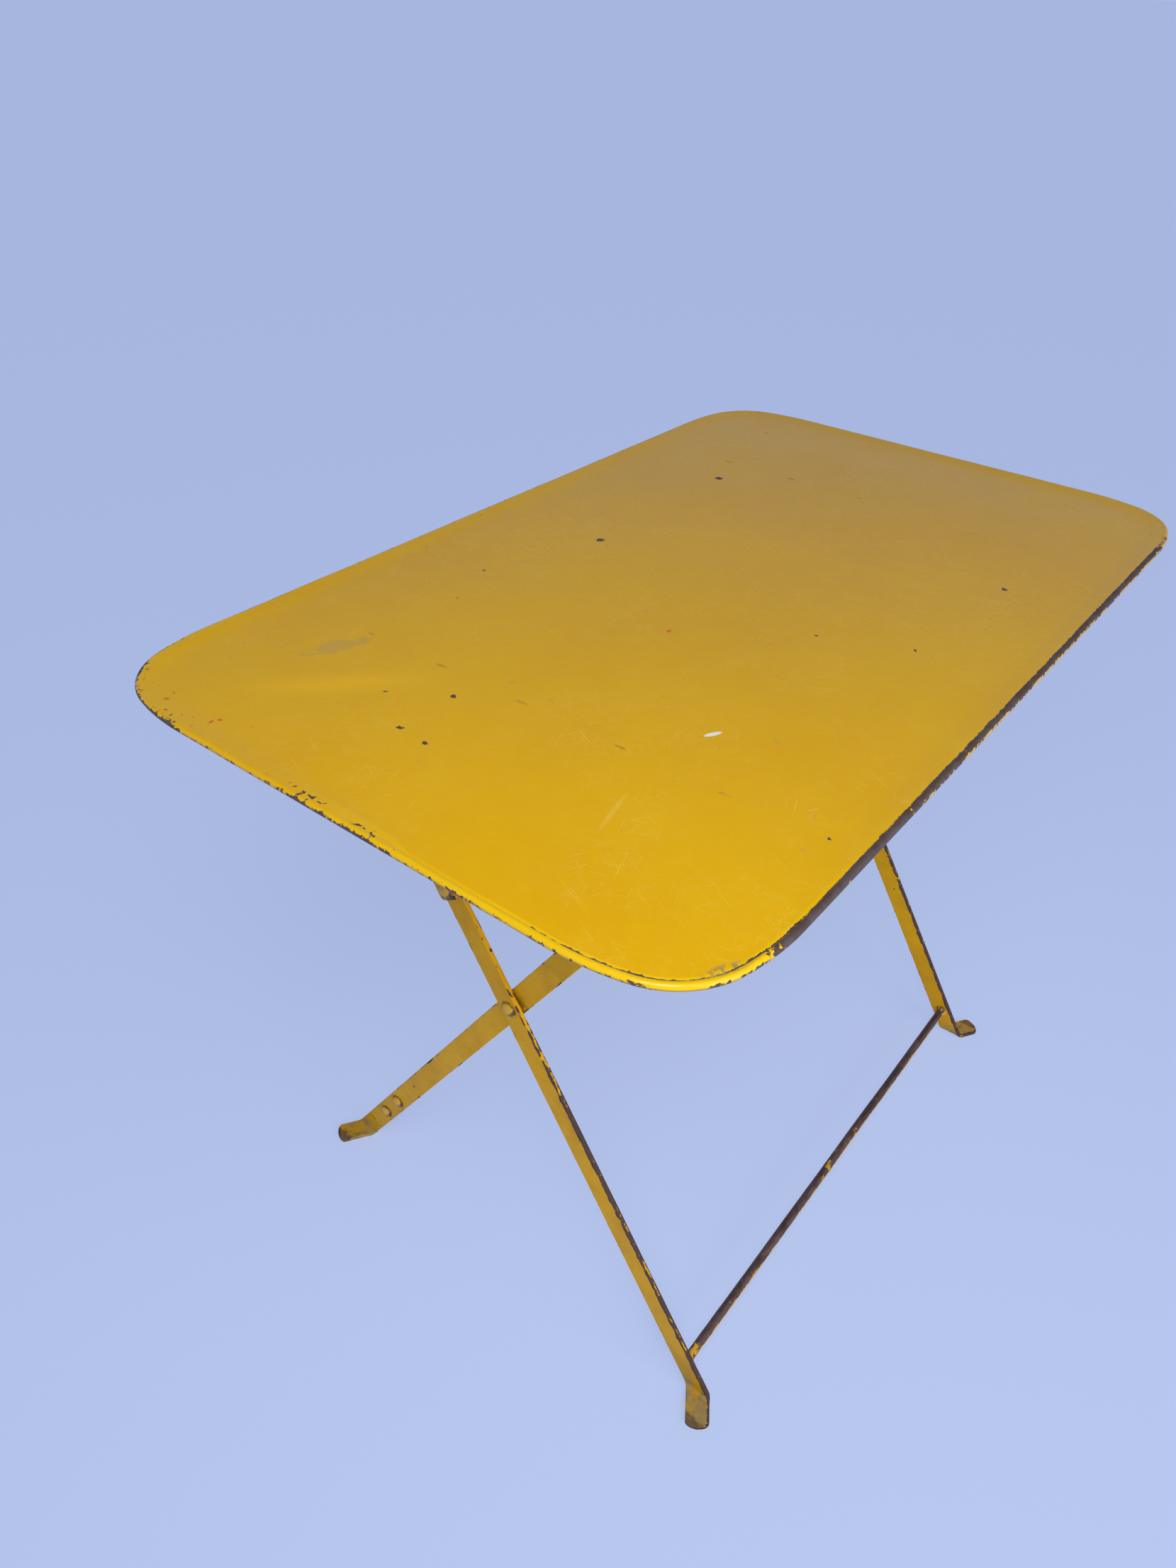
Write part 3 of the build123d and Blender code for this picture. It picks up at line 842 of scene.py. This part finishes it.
sides = (("left", -1), ("right", 1))
_, leg_a_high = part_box("leg_a_right")
leg_a_end = (leg_a_high.z - bar_half_width * reach) / rise
right_through = 100                     # reach of a spot of grime and painted shade along X, so that it marks every face
round_rivet = (0.70, 0.0112)            # solid share and radius of the grime and painted shade round a rivet head
crossing_spot = (crossing.y, crossing.z, *round_rivet)
hinge_spot = (hinge.y, hinge.z, *round_rivet)
leg_a_finish = leg_enamel("leg_a_enamel", lean_back, leg_a_high.x, [crossing_spot, hinge_spot])
for side_name, side in sides:
    leg = bar_with_foot(f"leg_a_bar_{side_name}", side, lean_back, f"leg_a_{side_name}", leg_a_end)
    put_finish(leg, leg_a_finish)
    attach(leg, "leg_pair_a")
    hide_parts(f"leg_a_{side_name}")


# ---- hinge straps ----
# A short length of the same bar, riveted on the outside of each leg A. Its
# lower end is cut square with the corners knocked off; its top is rounded and
# turns on the hinge rivet.
hinge_distance = hinge.z / rise


def on_straight_bar(lean, distance, across):
    """(y, z) of a spot on a leg, from its distance up the leg and its place across it."""
    y = lean * (distance * reach - foot_reach) - lean * across * rise
    return y, distance * rise + across * reach


def straight_bar(name, side, lean, node, start, end, start_round, end_round):
    """A flat bar along a leg, as wide and as far out as its solid in the frame."""
    low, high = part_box(node)
    x_inner, x_outer = sorted((abs(low.x), abs(high.x)))
    half_thickness = (x_outer - x_inner) / 2
    middle = (x_outer + x_inner) / 2

    def section(half_width, pinch):
        return bar_section(half_width, half_thickness - pinch)

    def place(distance, across, through):
        y, z = on_straight_bar(lean, distance, across)
        return middle + through, y, z

    stations = bar_stations(start, end, start_round, end_round, bar_half_width)
    return swept_bar(name, side, lean, stations, section, place)


strap_start = (strap_low.z + bar_half_width * reach) / rise
strap_corner = 0.005
for side_name, side in sides:
    strap = straight_bar(
        f"hinge_strap_bar_{side_name}",
        side,
        lean_back,
        f"hinge_strap_{side_name}",
        strap_start,
        hinge_distance + bar_half_width,
        strap_corner,
        bar_half_width * 0.98,
    )
    put_finish(strap, leg_a_finish)
    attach(strap, "leg_pair_a")
    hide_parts(f"hinge_strap_{side_name}")


# ---- leg pair B ----
# Straight lengths of the bar, inside pair A. The top is rounded over the hook
# rod and the lower end is cut square on its lap with the foot piece.
_, foot_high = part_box("foot_b_right")
foot_rivet_distances = (0.095, 0.138)
foot_rivet_spots = [
    (*on_straight_bar(lean_front, distance, 0), *round_rivet) for distance in foot_rivet_distances
]
# grime and painted shade on leg B where leg A crosses it
corner_spot = (crossing.y, crossing.z, 0.45, 0.026)
leg_b_finish = leg_enamel("leg_b_enamel", lean_front, foot_high.x, [corner_spot] + foot_rivet_spots)
leg_b_start = (leg_low.z + bar_half_width * reach) / rise
leg_b_corner = 0.0012
for side_name, side in sides:
    leg = straight_bar(
        f"leg_b_bar_{side_name}",
        side,
        lean_front,
        f"leg_b_{side_name}",
        leg_b_start,
        hinge_distance + bar_half_width,
        leg_b_corner,
        bar_half_width * 0.98,
    )
    put_finish(leg, leg_b_finish)
    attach(leg, "leg_pair_b")
    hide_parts(f"leg_b_{side_name}")


# ---- feet of pair B ----
# Bent foot pieces of the same bar, lapped on the inside of each leg B.
foot_end = (foot_high.z - bar_half_width * reach) / rise
for side_name, side in sides:
    foot = bar_with_foot(f"foot_b_bar_{side_name}", side, lean_front, f"foot_b_{side_name}", foot_end)
    put_finish(foot, leg_b_finish)
    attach(foot, "leg_pair_b")
    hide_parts(f"foot_b_{side_name}")


# ---- rivets ----
# Hot-headed steel rivets, a little out of round, painted with the legs. The
# hinge and crossing rivets are the pivots; the others hold strap and foot laps.
shank_radius = 0.004
head_radius = 0.0075
head_height = 0.0038
tail_radius = 0.0065
tail_height = 0.0026
flush_radius, flush_height = 0.0055, 0.0022     # a strap rivet's flat inner end
dome_rim = 0.0004                               # the straight rim under a dome
dome_steps = 8
turned_sides = 32
seat_wear, side_wear, crown_wear, shank_wear = 0.60, 0.53, 0.30, 0.5
rivet_yellow, rivet_dull, rivet_rust = (0.74, 0.40, 0.004), (0.62, 0.31, 0.006), (0.26, 0.085, 0.022)
# painted shade mixed with grime: the dark ring where a head meets its bar, and the dark lower front of a head
under_head_grime_and_shade, crescent_grime_and_shade = (0.10, 0.055, 0.025), (0.065, 0.032, 0.014)
grime_and_shade_side = (0, -0.75, -0.66)         # the lower front of a head, where painted shade and grime darken it


def dome_rows(seat, outward, radius, height):
    """Rows (x, radius, wear) of a rivet head, from its seat to its crown."""
    rows = [(seat, radius * 0.93, seat_wear), (seat + outward * dome_rim, radius, seat_wear)]
    for step in range(1, dome_steps):
        turn = math.pi / 2 * step / dome_steps
        up = dome_rim + (height - dome_rim) * math.sin(turn)
        wear = side_wear if step < 3 else crown_wear
        rows.append((seat + outward * up, radius * math.cos(turn), wear))
    rows.append((seat + outward * height, 0.0002, crown_wear))
    return rows


def turned_piece(name, side, y, z, rows, unevenness=0.00025):
    """A closed piece turned about a line along X, slightly uneven."""
    mesh = bmesh.new()
    layer = mesh.verts.layers.float.new("wear")
    rings = []
    for x, radius, wear in rows:
        ring = []
        for step in range(turned_sides):
            turn = 2 * math.pi * step / turned_sides
            direction = Vector((0, math.cos(turn), math.sin(turn)))
            uneven = noise.noise(Vector((side * x / 0.004, y * 90 + direction.y, z * 90 + direction.z)))
            spread = radius + unevenness * uneven * min(1.0, radius / 0.006)
            vertex = mesh.verts.new((side * x, y + direction.y * spread, z + direction.z * spread))
            vertex[layer] = wear
            ring.append(vertex)
        rings.append(ring)
    skin_rings(mesh, rings)
    close_ends(mesh, rings)
    return mesh


def joined_meshes(name, meshes):
    """Several built pieces as one object."""
    whole = bmesh.new()
    whole.verts.layers.float.new("wear")
    for mesh in meshes:
        bmesh.ops.recalc_face_normals(mesh, faces=mesh.faces)
        data = bpy.data.meshes.new("part")
        mesh.to_mesh(data)
        mesh.free()
        whole.from_mesh(data)
        bpy.data.meshes.remove(data)
    return finished_piece(name, whole)


def rivet_places(node, head_reach):
    """(y, z) of each rivet in a node that holds one or two of them."""
    low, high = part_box(node)
    if high.z - low.z < 0.02:
        return [((low.y + high.y) / 2, (low.z + high.z) / 2)]
    lean = lean_back if node.startswith("strap") else lean_front
    return [on_straight_bar(lean, z / rise, 0) for z in (low.z + head_reach, high.z - head_reach)]


def rivet_finish():
    """The legs' paint on a rivet: grime and painted shade in the ring under the head and on its lower front,
    rubbed on the crown.
    """
    material, tree, shader = new_finish("rivet_enamel", 0.40)
    place = own_coordinates(tree)
    worn = painted_value(tree, "wear")
    colour = blend_colours(tree, patches(tree, place, 60, 0.4, 0.65), rivet_yellow, rivet_dull)
    # painted shade mixed with grime in the ring where the head meets the bar
    head_gap_grime_and_shade = times(tree, value_ramp(tree, worn, 0.44, 0.58), patches(tree, place, 150, 0.36, 0.52))
    colour = blend_colours(tree, times(tree, head_gap_grime_and_shade, 0.85), colour, under_head_grime_and_shade)
    # painted shade mixed with grime on the lower front of the head, picked by which way the surface faces
    facing = shader_node(tree, "VectorMath", operation="DOT_PRODUCT")
    give(tree, facing.inputs[0], shader_node(tree, "TexCoord").outputs["Normal"])
    give(tree, facing.inputs[1], grime_and_shade_side)
    crescent = value_ramp(tree, facing.outputs["Value"], 0.18, 0.42, 0, 0.9)
    colour = blend_colours(tree, crescent, colour, crescent_grime_and_shade)
    chips = place_group(tree, chipped_paint, coordinates=place, wear=worn, scale=260.0)
    metal = blend_colours(tree, chips["Rust"], bare_brown, rivet_rust)
    give(tree, shader.inputs["Base Color"], blend_colours(tree, chips["Bare"], colour, metal))
    give(tree, shader.inputs["Roughness"], plus(tree, times(tree, chips["Bare"], 0.2), 0.38))
    raise_surface(tree, shader, minus(tree, cloud(tree, place, 300, 3), chips["Bare"]), 0.0002)
    return material


rivet_enamel = rivet_finish()
body_of = {
    "strap_rivets": "leg_pair_a",
    "crossing_rivet": "leg_pair_a",
    "foot_rivets": "leg_pair_b",
    "hinge_rivet": "tabletop",
}
for kind, body in body_of.items():
    for side_name, side in sides:
        node = f"{kind}_{side_name}"
        low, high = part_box(node)
        inner_x, outer_x = sorted((abs(low.x), abs(high.x)))
        head_seat = outer_x - head_height
        built = []
        for y, z in rivet_places(node, head_radius):
            if kind == "strap_rivets":
                tail = [(inner_x, flush_radius, shank_wear)]
                tail.append((inner_x + flush_height, shank_radius, shank_wear))
            else:
                tail = dome_rows(inner_x + tail_height, -1, tail_radius, tail_height)[::-1]
                tail.append((inner_x + tail_height, shank_radius, shank_wear))
            head = dome_rows(head_seat, 1, head_radius, head_height)
            rows = tail + [(head_seat, shank_radius, seat_wear)] + head
            built.append(turned_piece(kind, side, y, z, rows))
        rivet = joined_meshes(f"{kind}_domed_{side_name}", built)
        put_finish(rivet, rivet_enamel)
        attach(rivet, body)
        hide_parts(node)


# ---- washers ----
# Punched steel washers, one at each crossing and one between each hinge ear
# and its strap. They turn against paint; their grey steel is stained brown.
washer_grey, washer_bright, washer_stain = (0.23, 0.20, 0.18), (0.34, 0.31, 0.29), (0.16, 0.075, 0.03)
bore_clearance = 0.0001
washer_bevel = 0.0003
bare_steel = 1.0            # there is no paint on a washer


def washer_steel():
    """Grey steel with brown stains that dull it."""
    material, tree, shader = new_finish("washer_steel", 0.45, 0.85)
    place = own_coordinates(tree)
    grain = cloud(tree, place, 220, 4)
    colour = blend_colours(tree, value_ramp(tree, grain, 0.4, 0.65), washer_grey, washer_bright)
    stain = patches(tree, place, 90, 0.5, 0.62, detail=5, roughness=0.7)
    give(tree, shader.inputs["Base Color"], blend_colours(tree, stain, colour, washer_stain))
    give(tree, shader.inputs["Roughness"], plus(tree, times(tree, stain, 0.3), 0.38))
    give(tree, shader.inputs["Metallic"], value_ramp(tree, stain, 0.2, 0.8, 0.85, 0.2))
    raise_surface(tree, shader, grain, 0.00008)
    return material


washer_finish = washer_steel()
for kind, body in (("crossing_washer", "leg_pair_a"), ("hinge_washer", "tabletop")):
    for side_name, side in sides:
        node = f"{kind}_{side_name}"
        low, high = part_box(node)
        inner_x, outer_x = sorted((abs(low.x), abs(high.x)))
        outer_radius = (high.z - low.z) / 2
        bore_radius = shank_radius + bore_clearance
        corners = [
            (inner_x, bore_radius),
            (inner_x, outer_radius - washer_bevel),
            (inner_x + washer_bevel, outer_radius),
            (outer_x - washer_bevel, outer_radius),
            (outer_x, outer_radius - washer_bevel),
            (outer_x, bore_radius),
        ]
        rows = [(x, radius, bare_steel) for x, radius in corners]
        mesh = turned_piece(kind, side, (low.y + high.y) / 2, (low.z + high.z) / 2, rows, 0.0001)
        washer = finished_piece(f"{kind}_punched_{side_name}", mesh)
        put_finish(washer, washer_finish)
        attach(washer, body)
        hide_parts(node)


# ---- lower rod ----
# A 10 mm round bar between the feet of pair A, welded at both ends. Feet
# have rubbed its top and back down to brown steel; paint is left below.
rod_radius = 0.005
rod_sides = 24
rod_weld_flare = 0.0028
rod_weld_length = 0.007
rod_yellow, rod_yellow_dull = (0.70, 0.37, 0.005), (0.52, 0.26, 0.008)
rod_dark, rod_purple, rod_rust = (0.070, 0.040, 0.038), (0.135, 0.088, 0.086), (0.17, 0.075, 0.035)


def round_bar(name, node, weld_flare, wear_of):
    """A round bar along X, not quite straight, with a weld collar at each end."""
    low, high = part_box(node)
    y, z = (low.y + high.y) / 2, (low.z + high.z) / 2
    length = high.x - low.x
    count = round(length / 0.006)
    mesh = bmesh.new()
    layer = mesh.verts.layers.float.new("wear")
    rings = []
    spots = [low.x + length * step / count for step in range(count + 1)]
    spots += [x for end in (0.0015, 0.003, 0.0045) for x in (low.x + end, high.x - end)]
    for x in sorted(spots):
        from_end = min(x - low.x, high.x - x)
        free = fade(from_end, 0.0, 0.12)
        bow_y = 0.0005 * free * noise.noise(Vector((x / 0.13, 1.0, z)))
        bow_z = 0.0005 * free * noise.noise(Vector((x / 0.13, 7.0, z)))
        collar = weld_flare * (1 - fade(from_end, 0.0005, rod_weld_length))
        ring = []
        for step in range(rod_sides):
            turn = 2 * math.pi * step / rod_sides
            across, up = math.cos(turn), math.sin(turn)
            lump = 0.00012 * noise.noise(Vector((x / 0.012, across * 1.5, up * 1.5)))
            blob = collar * (1 + 0.35 * noise.noise(Vector((x / 0.004, across * 2.2, up * 2.2))))
            spread = rod_radius + lump + blob
            vertex = mesh.verts.new((x, y + bow_y + across * spread, z + bow_z + up * spread))
            vertex[layer] = wear_of(x, from_end, turn)
            ring.append(vertex)
        rings.append(ring)
    skin_rings(mesh, rings)
    close_ends(mesh, rings)
    return finished_piece(name, mesh)


def lower_rod_wear(x, from_end, turn):
    """Rubbed bare on the top and back, painted below and at the welds."""
    facing = math.cos(turn - math.radians(60))
    rubbed = fade(facing, -0.46, 0.10)
    return 0.37 + rubbed * (0.24 + 0.30 * fade(from_end, 0.004, 0.03))


def rod_finish(name):
    """Purple-brown bare steel with what is left of the yellow paint."""
    material, tree, shader = new_finish(name, 0.5)
    place = own_coordinates(tree)
    along = stretched(tree, place, (2.2, 1, 1))
    paint = blend_colours(tree, patches(tree, place, 30, 0.4, 0.65), rod_yellow, rod_yellow_dull)
    chips = place_group(
        tree, chipped_paint, coordinates=along, wear=painted_value(tree, "wear"), scale=190.0
    )
    mottle = patches(tree, along, 85, 0.38, 0.64, detail=6, roughness=0.7)
    steel = blend_colours(tree, mottle, rod_dark, rod_purple)
    steel = blend_colours(tree, times(tree, chips["Rust"], 0.35), steel, rod_rust)
    give(tree, shader.inputs["Base Color"], blend_colours(tree, chips["Bare"], paint, steel))
    sheen = plus(tree, value_ramp(tree, mottle, 0.0, 1.0, 0.42, 0.62), times(tree, chips["Bare"], 0.06))
    give(tree, shader.inputs["Roughness"], sheen)
    give(tree, shader.inputs["Metallic"], times(tree, chips["Bare"], 0.35))
    raise_surface(tree, shader, minus(tree, mottle, chips["Bare"]), 0.0002)
    return material


worn_rod = rod_finish("worn_rod")
rod = round_bar("lower_rod_worn", "lower_rod", rod_weld_flare, lower_rod_wear)
put_finish(rod, worn_rod)
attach(rod, "leg_pair_a")
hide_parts("lower_rod")


# ---- hook rod ----
# The same round bar through the rounded tops of pair B. Its ends lie loose in
# the hooks of the rails, where the paint has rubbed off.
def hook_rod_wear(x, from_end, turn):
    """Bare at the ends, where it turns in the hooks, and thin along the top."""
    in_hook = 1 - fade(from_end, 0.014, 0.022)
    return 0.30 + 0.62 * in_hook + 0.12 * math.cos(turn - math.radians(90))


hook_rod = round_bar("hook_rod_worn", "hook_rod", 0.0, hook_rod_wear)
put_finish(hook_rod, worn_rod)
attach(hook_rod, "leg_pair_b")
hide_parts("hook_rod")


# ---- rails ----
# Pressed steel angle, 4 mm thick, under each long side of the frame. Its
# flange is welded to the sheet; its web drops to the hinge ear at the back
# and to the open hook for the rod at the front.
ear_radius = 0.012
slot_radius = 0.0053
hook_wall = 0.010
hook_lip = 0.006
hook_overhang = 0.008
hook_corner = 0.005
rail_thickness = 0.004
flange_corner, flange_edge = 0.004, 0.0008
rail_welds = (0.05, 0.28, 0.52, 0.74, 0.95)     # shares of the rail's length
rail_weld_length = 0.020
rail_yellow, rail_dull, rail_rust = (0.60, 0.34, 0.008), (0.44, 0.23, 0.015), (0.26, 0.085, 0.022)
edge_wear, face_wear, weld_wear = 0.5, 0.2, 0.35


def arc_points(y, z, radius, start, end, steps=10):
    """Points along an arc in the side view, angles in degrees."""
    turns = [math.radians(start + (end - start) * step / steps) for step in range(steps + 1)]
    return [(y + radius * math.cos(turn), z + radius * math.sin(turn)) for turn in turns]


def rail_outline(under_sheet):
    """Side view of a rail's web, anticlockwise from its top back corner."""
    back = -hinge.y - slot_radius - hook_wall
    tip = hook_overhang - hinge.y
    web_bottom = hinge.z + slot_radius
    lip_bottom = hinge.z - slot_radius - hook_lip
    lip_top = hinge.z - slot_radius
    outline = [(hinge.y + ear_radius, under_sheet), (back, under_sheet)]
    outline += arc_points(back + hook_corner, lip_bottom + hook_corner, hook_corner, 180, 270)
    outline += [(tip, lip_bottom), (tip, lip_top)]
    outline += arc_points(-hinge.y, hinge.z, slot_radius, 270, 90, 12)
    outline += [(hinge.y - ear_radius, web_bottom)]
    outline += arc_points(hinge.y, hinge.z, ear_radius, 180, 360, 16)
    return outline


def cut_plate(outline, inner, outer, place, bevel=0.0006):
    """A plate cut to an outline, its edges broken; place turns (u, v, w) into a point."""
    mesh = bmesh.new()
    layer = mesh.verts.layers.float.new("wear")
    caps = []
    for depth in (inner, outer):
        caps.append([mesh.verts.new(place(u, v, depth)) for u, v in outline])
    for vertex in mesh.verts:
        vertex[layer] = edge_wear
    count = len(outline)
    faces = [mesh.faces.new(caps[0]), mesh.faces.new(caps[1][::-1])]
    for step in range(count):
        after = (step + 1) % count
        mesh.faces.new((caps[0][after], caps[0][step], caps[1][step], caps[1][after]))
    rims = {edge for face in faces for edge in face.edges}
    bmesh.ops.bevel(mesh, geom=list(rims), offset=bevel, segments=2, profile=0.6, affect="EDGES")
    # the two wide sides are set in a little, so that the wear keeps to their edges
    wide = [face for face in mesh.faces if len(face.verts) > 20 or face.calc_area() > 0.004]
    bmesh.ops.inset_individual(mesh, faces=wide, thickness=0.0014, use_even_offset=True)
    for face in wide:
        for vertex in face.verts:
            vertex[layer] = face_wear
    return mesh


def weld_bead(x, y, z, length):
    """A short lumpy run of weld, flattened against the sheet."""
    half_width, half_height = 0.0028, 0.0024
    mesh = bmesh.new()
    layer = mesh.verts.layers.float.new("wear")
    bmesh.ops.create_uvsphere(mesh, u_segments=20, v_segments=12, radius=1)
    for vertex in mesh.verts:
        across, along, up = vertex.co
        lump = 1 + 0.22 * noise.noise(Vector((across * 2 + x * 40, along * 9 + y * 40, up * 2)))
        vertex.co = Vector((
            x + across * half_width * lump,
            y + along * length / 2,
            z + up * half_height * lump,
        ))
        vertex[layer] = weld_wear
    return mesh


def rail_finish():
    """Underside paint: the same yellow, thin and dirty, with brown coming through."""
    material, tree, shader = new_finish("rail_enamel", 0.5)
    place = own_coordinates(tree)
    colour = blend_colours(tree, patches(tree, place, 22, 0.38, 0.66, detail=5), rail_yellow, rail_dull)
    chips = place_group(
        tree, chipped_paint, coordinates=place, wear=painted_value(tree, "wear"), scale=150.0
    )
    metal = blend_colours(tree, chips["Rust"], bare_brown, rail_rust)
    give(tree, shader.inputs["Base Color"], blend_colours(tree, chips["Bare"], colour, metal))
    give(tree, shader.inputs["Roughness"], plus(tree, times(tree, chips["Bare"], 0.15), 0.46))
    brushed = times(tree, cloud(tree, place, 60, 4), 0.5)
    raise_surface(tree, shader, minus(tree, brushed, chips["Bare"]), 0.00022)
    return material


rail_enamel = rail_finish()
for side_name, side in sides:
    node = f"rail_{side_name}"
    low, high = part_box(node)
    flange_x, web_x = sorted((abs(low.x), abs(high.x)))
    under_sheet = high.z
    web_inner = web_x - rail_thickness
    web = cut_plate(rail_outline(under_sheet), web_inner, web_x, lambda u, v, w: (side * w, u, v))
    half = (web_inner - flange_x) / 2
    middle_x, middle_y = flange_x + half, (low.y + high.y) / 2
    half_y = (high.y - low.y) / 2
    flange_outline = []
    for quarter, (u, v) in enumerate(((1, 1), (-1, 1), (-1, -1), (1, -1))):
        round_it = flange_corner if u < 0 else flange_edge
        flange_outline += arc_points(
            middle_x + u * (half - round_it), middle_y + v * (half_y - round_it), round_it,
            90 * quarter, 90 * quarter + 90, 5,
        )
    under_flange = under_sheet - rail_thickness
    flange = cut_plate(flange_outline, under_flange, under_sheet, lambda u, v, w: (side * u, v, w))
    weld_x, weld_z = side * (flange_x - 0.0006), under_sheet - 0.0008
    welds = [
        weld_bead(weld_x, low.y + (high.y - low.y) * share, weld_z, rail_weld_length)
        for share in rail_welds
    ]
    rail = joined_meshes(f"rail_angle_{side_name}", [web, flange] + welds)
    put_finish(rail, rail_enamel)
    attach(rail, "tabletop")
    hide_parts(node)


# ---- studio ----
# A plain pale floor, a soft light over the viewer's left shoulder, a wider one
# in front, a weak sky light and the camera.
def pale_floor():
    """A matt cloth colour that gives back some light of its own, so that shadows stay pale."""
    material, _, shader = new_finish("pale_floor", 0.95)
    shader.inputs["Base Color"].default_value = (0.19, 0.22, 0.29, 1)
    shader.inputs["Specular IOR Level"].default_value = 0.0
    shader.inputs["Emission Color"].default_value = (0.472, 0.570, 0.890, 1)
    shader.inputs["Emission Strength"].default_value = 0.69
    return material


floor_radius = 150
bpy.ops.mesh.primitive_circle_add(
    vertices=128, radius=floor_radius, fill_type="NGON", location=(0, 0, 0)
)
floor = bpy.context.object
floor.name = "floor"
put_finish(floor, pale_floor())


def studio_air():
    """Pale low down all round and dim overhead."""
    world = bpy.data.worlds.new("studio_air")
    world.use_nodes = True
    tree = world.node_tree
    parts = shader_node(tree, "SeparateXYZ")
    give(tree, parts.inputs[0], shader_node(tree, "TexCoord").outputs["Generated"])
    overhead = value_ramp(tree, parts.outputs["Z"], 0.15, 0.75)
    colour = blend_colours(tree, overhead, (0.42, 0.50, 0.78), (0.055, 0.06, 0.07))
    give(tree, tree.nodes["Background"].inputs["Color"], colour)
    return world


bpy.context.scene.world = studio_air()


def aim(thing, place, target):
    """Puts a light or the camera at a place, pointing at a target."""
    thing.location = place
    thing.rotation_mode = "QUATERNION"
    thing.rotation_quaternion = (Vector(target) - Vector(place)).to_track_quat("-Z", "Y")
    bpy.context.scene.collection.objects.link(thing)


def soft_box(name, place, target, size, power):
    """A square soft light."""
    data = bpy.data.lights.new(name, "AREA")
    data.shape = "SQUARE"
    data.size = size
    data.energy = power
    aim(bpy.data.objects.new(name, data), place, target)


soft_box("shoulder_light", (-1.02, -0.58, 1.66), (-0.24, -0.14, 0.74), 0.6, 11.9)
soft_box("front_light", (-0.5, -2.3, 1.15), (-0.1, -0.2, 0.45), 1.3, 19.0)
sun_data = bpy.data.lights.new("sky_light", "SUN")
sun_data.energy = 0.75
sun_data.angle = math.radians(50)
aim(bpy.data.objects.new("sky_light", sun_data), (-0.5, -1.6, 1.8), (0, 0, 0))

camera_data = bpy.data.cameras.new("camera")
camera_data.lens = 26.09
camera_data.sensor_width = 36
camera = bpy.data.objects.new("camera", camera_data)
aim(camera, (-0.8928, -0.5138, 1.2280), (-0.2453, -0.0244, 0.6438))
camera.rotation_mode = "XYZ"
camera.rotation_euler.rotate_axis("Z", math.radians(2.0))
bpy.context.scene.camera = camera
bpy.context.scene.view_settings.view_transform = "Standard"
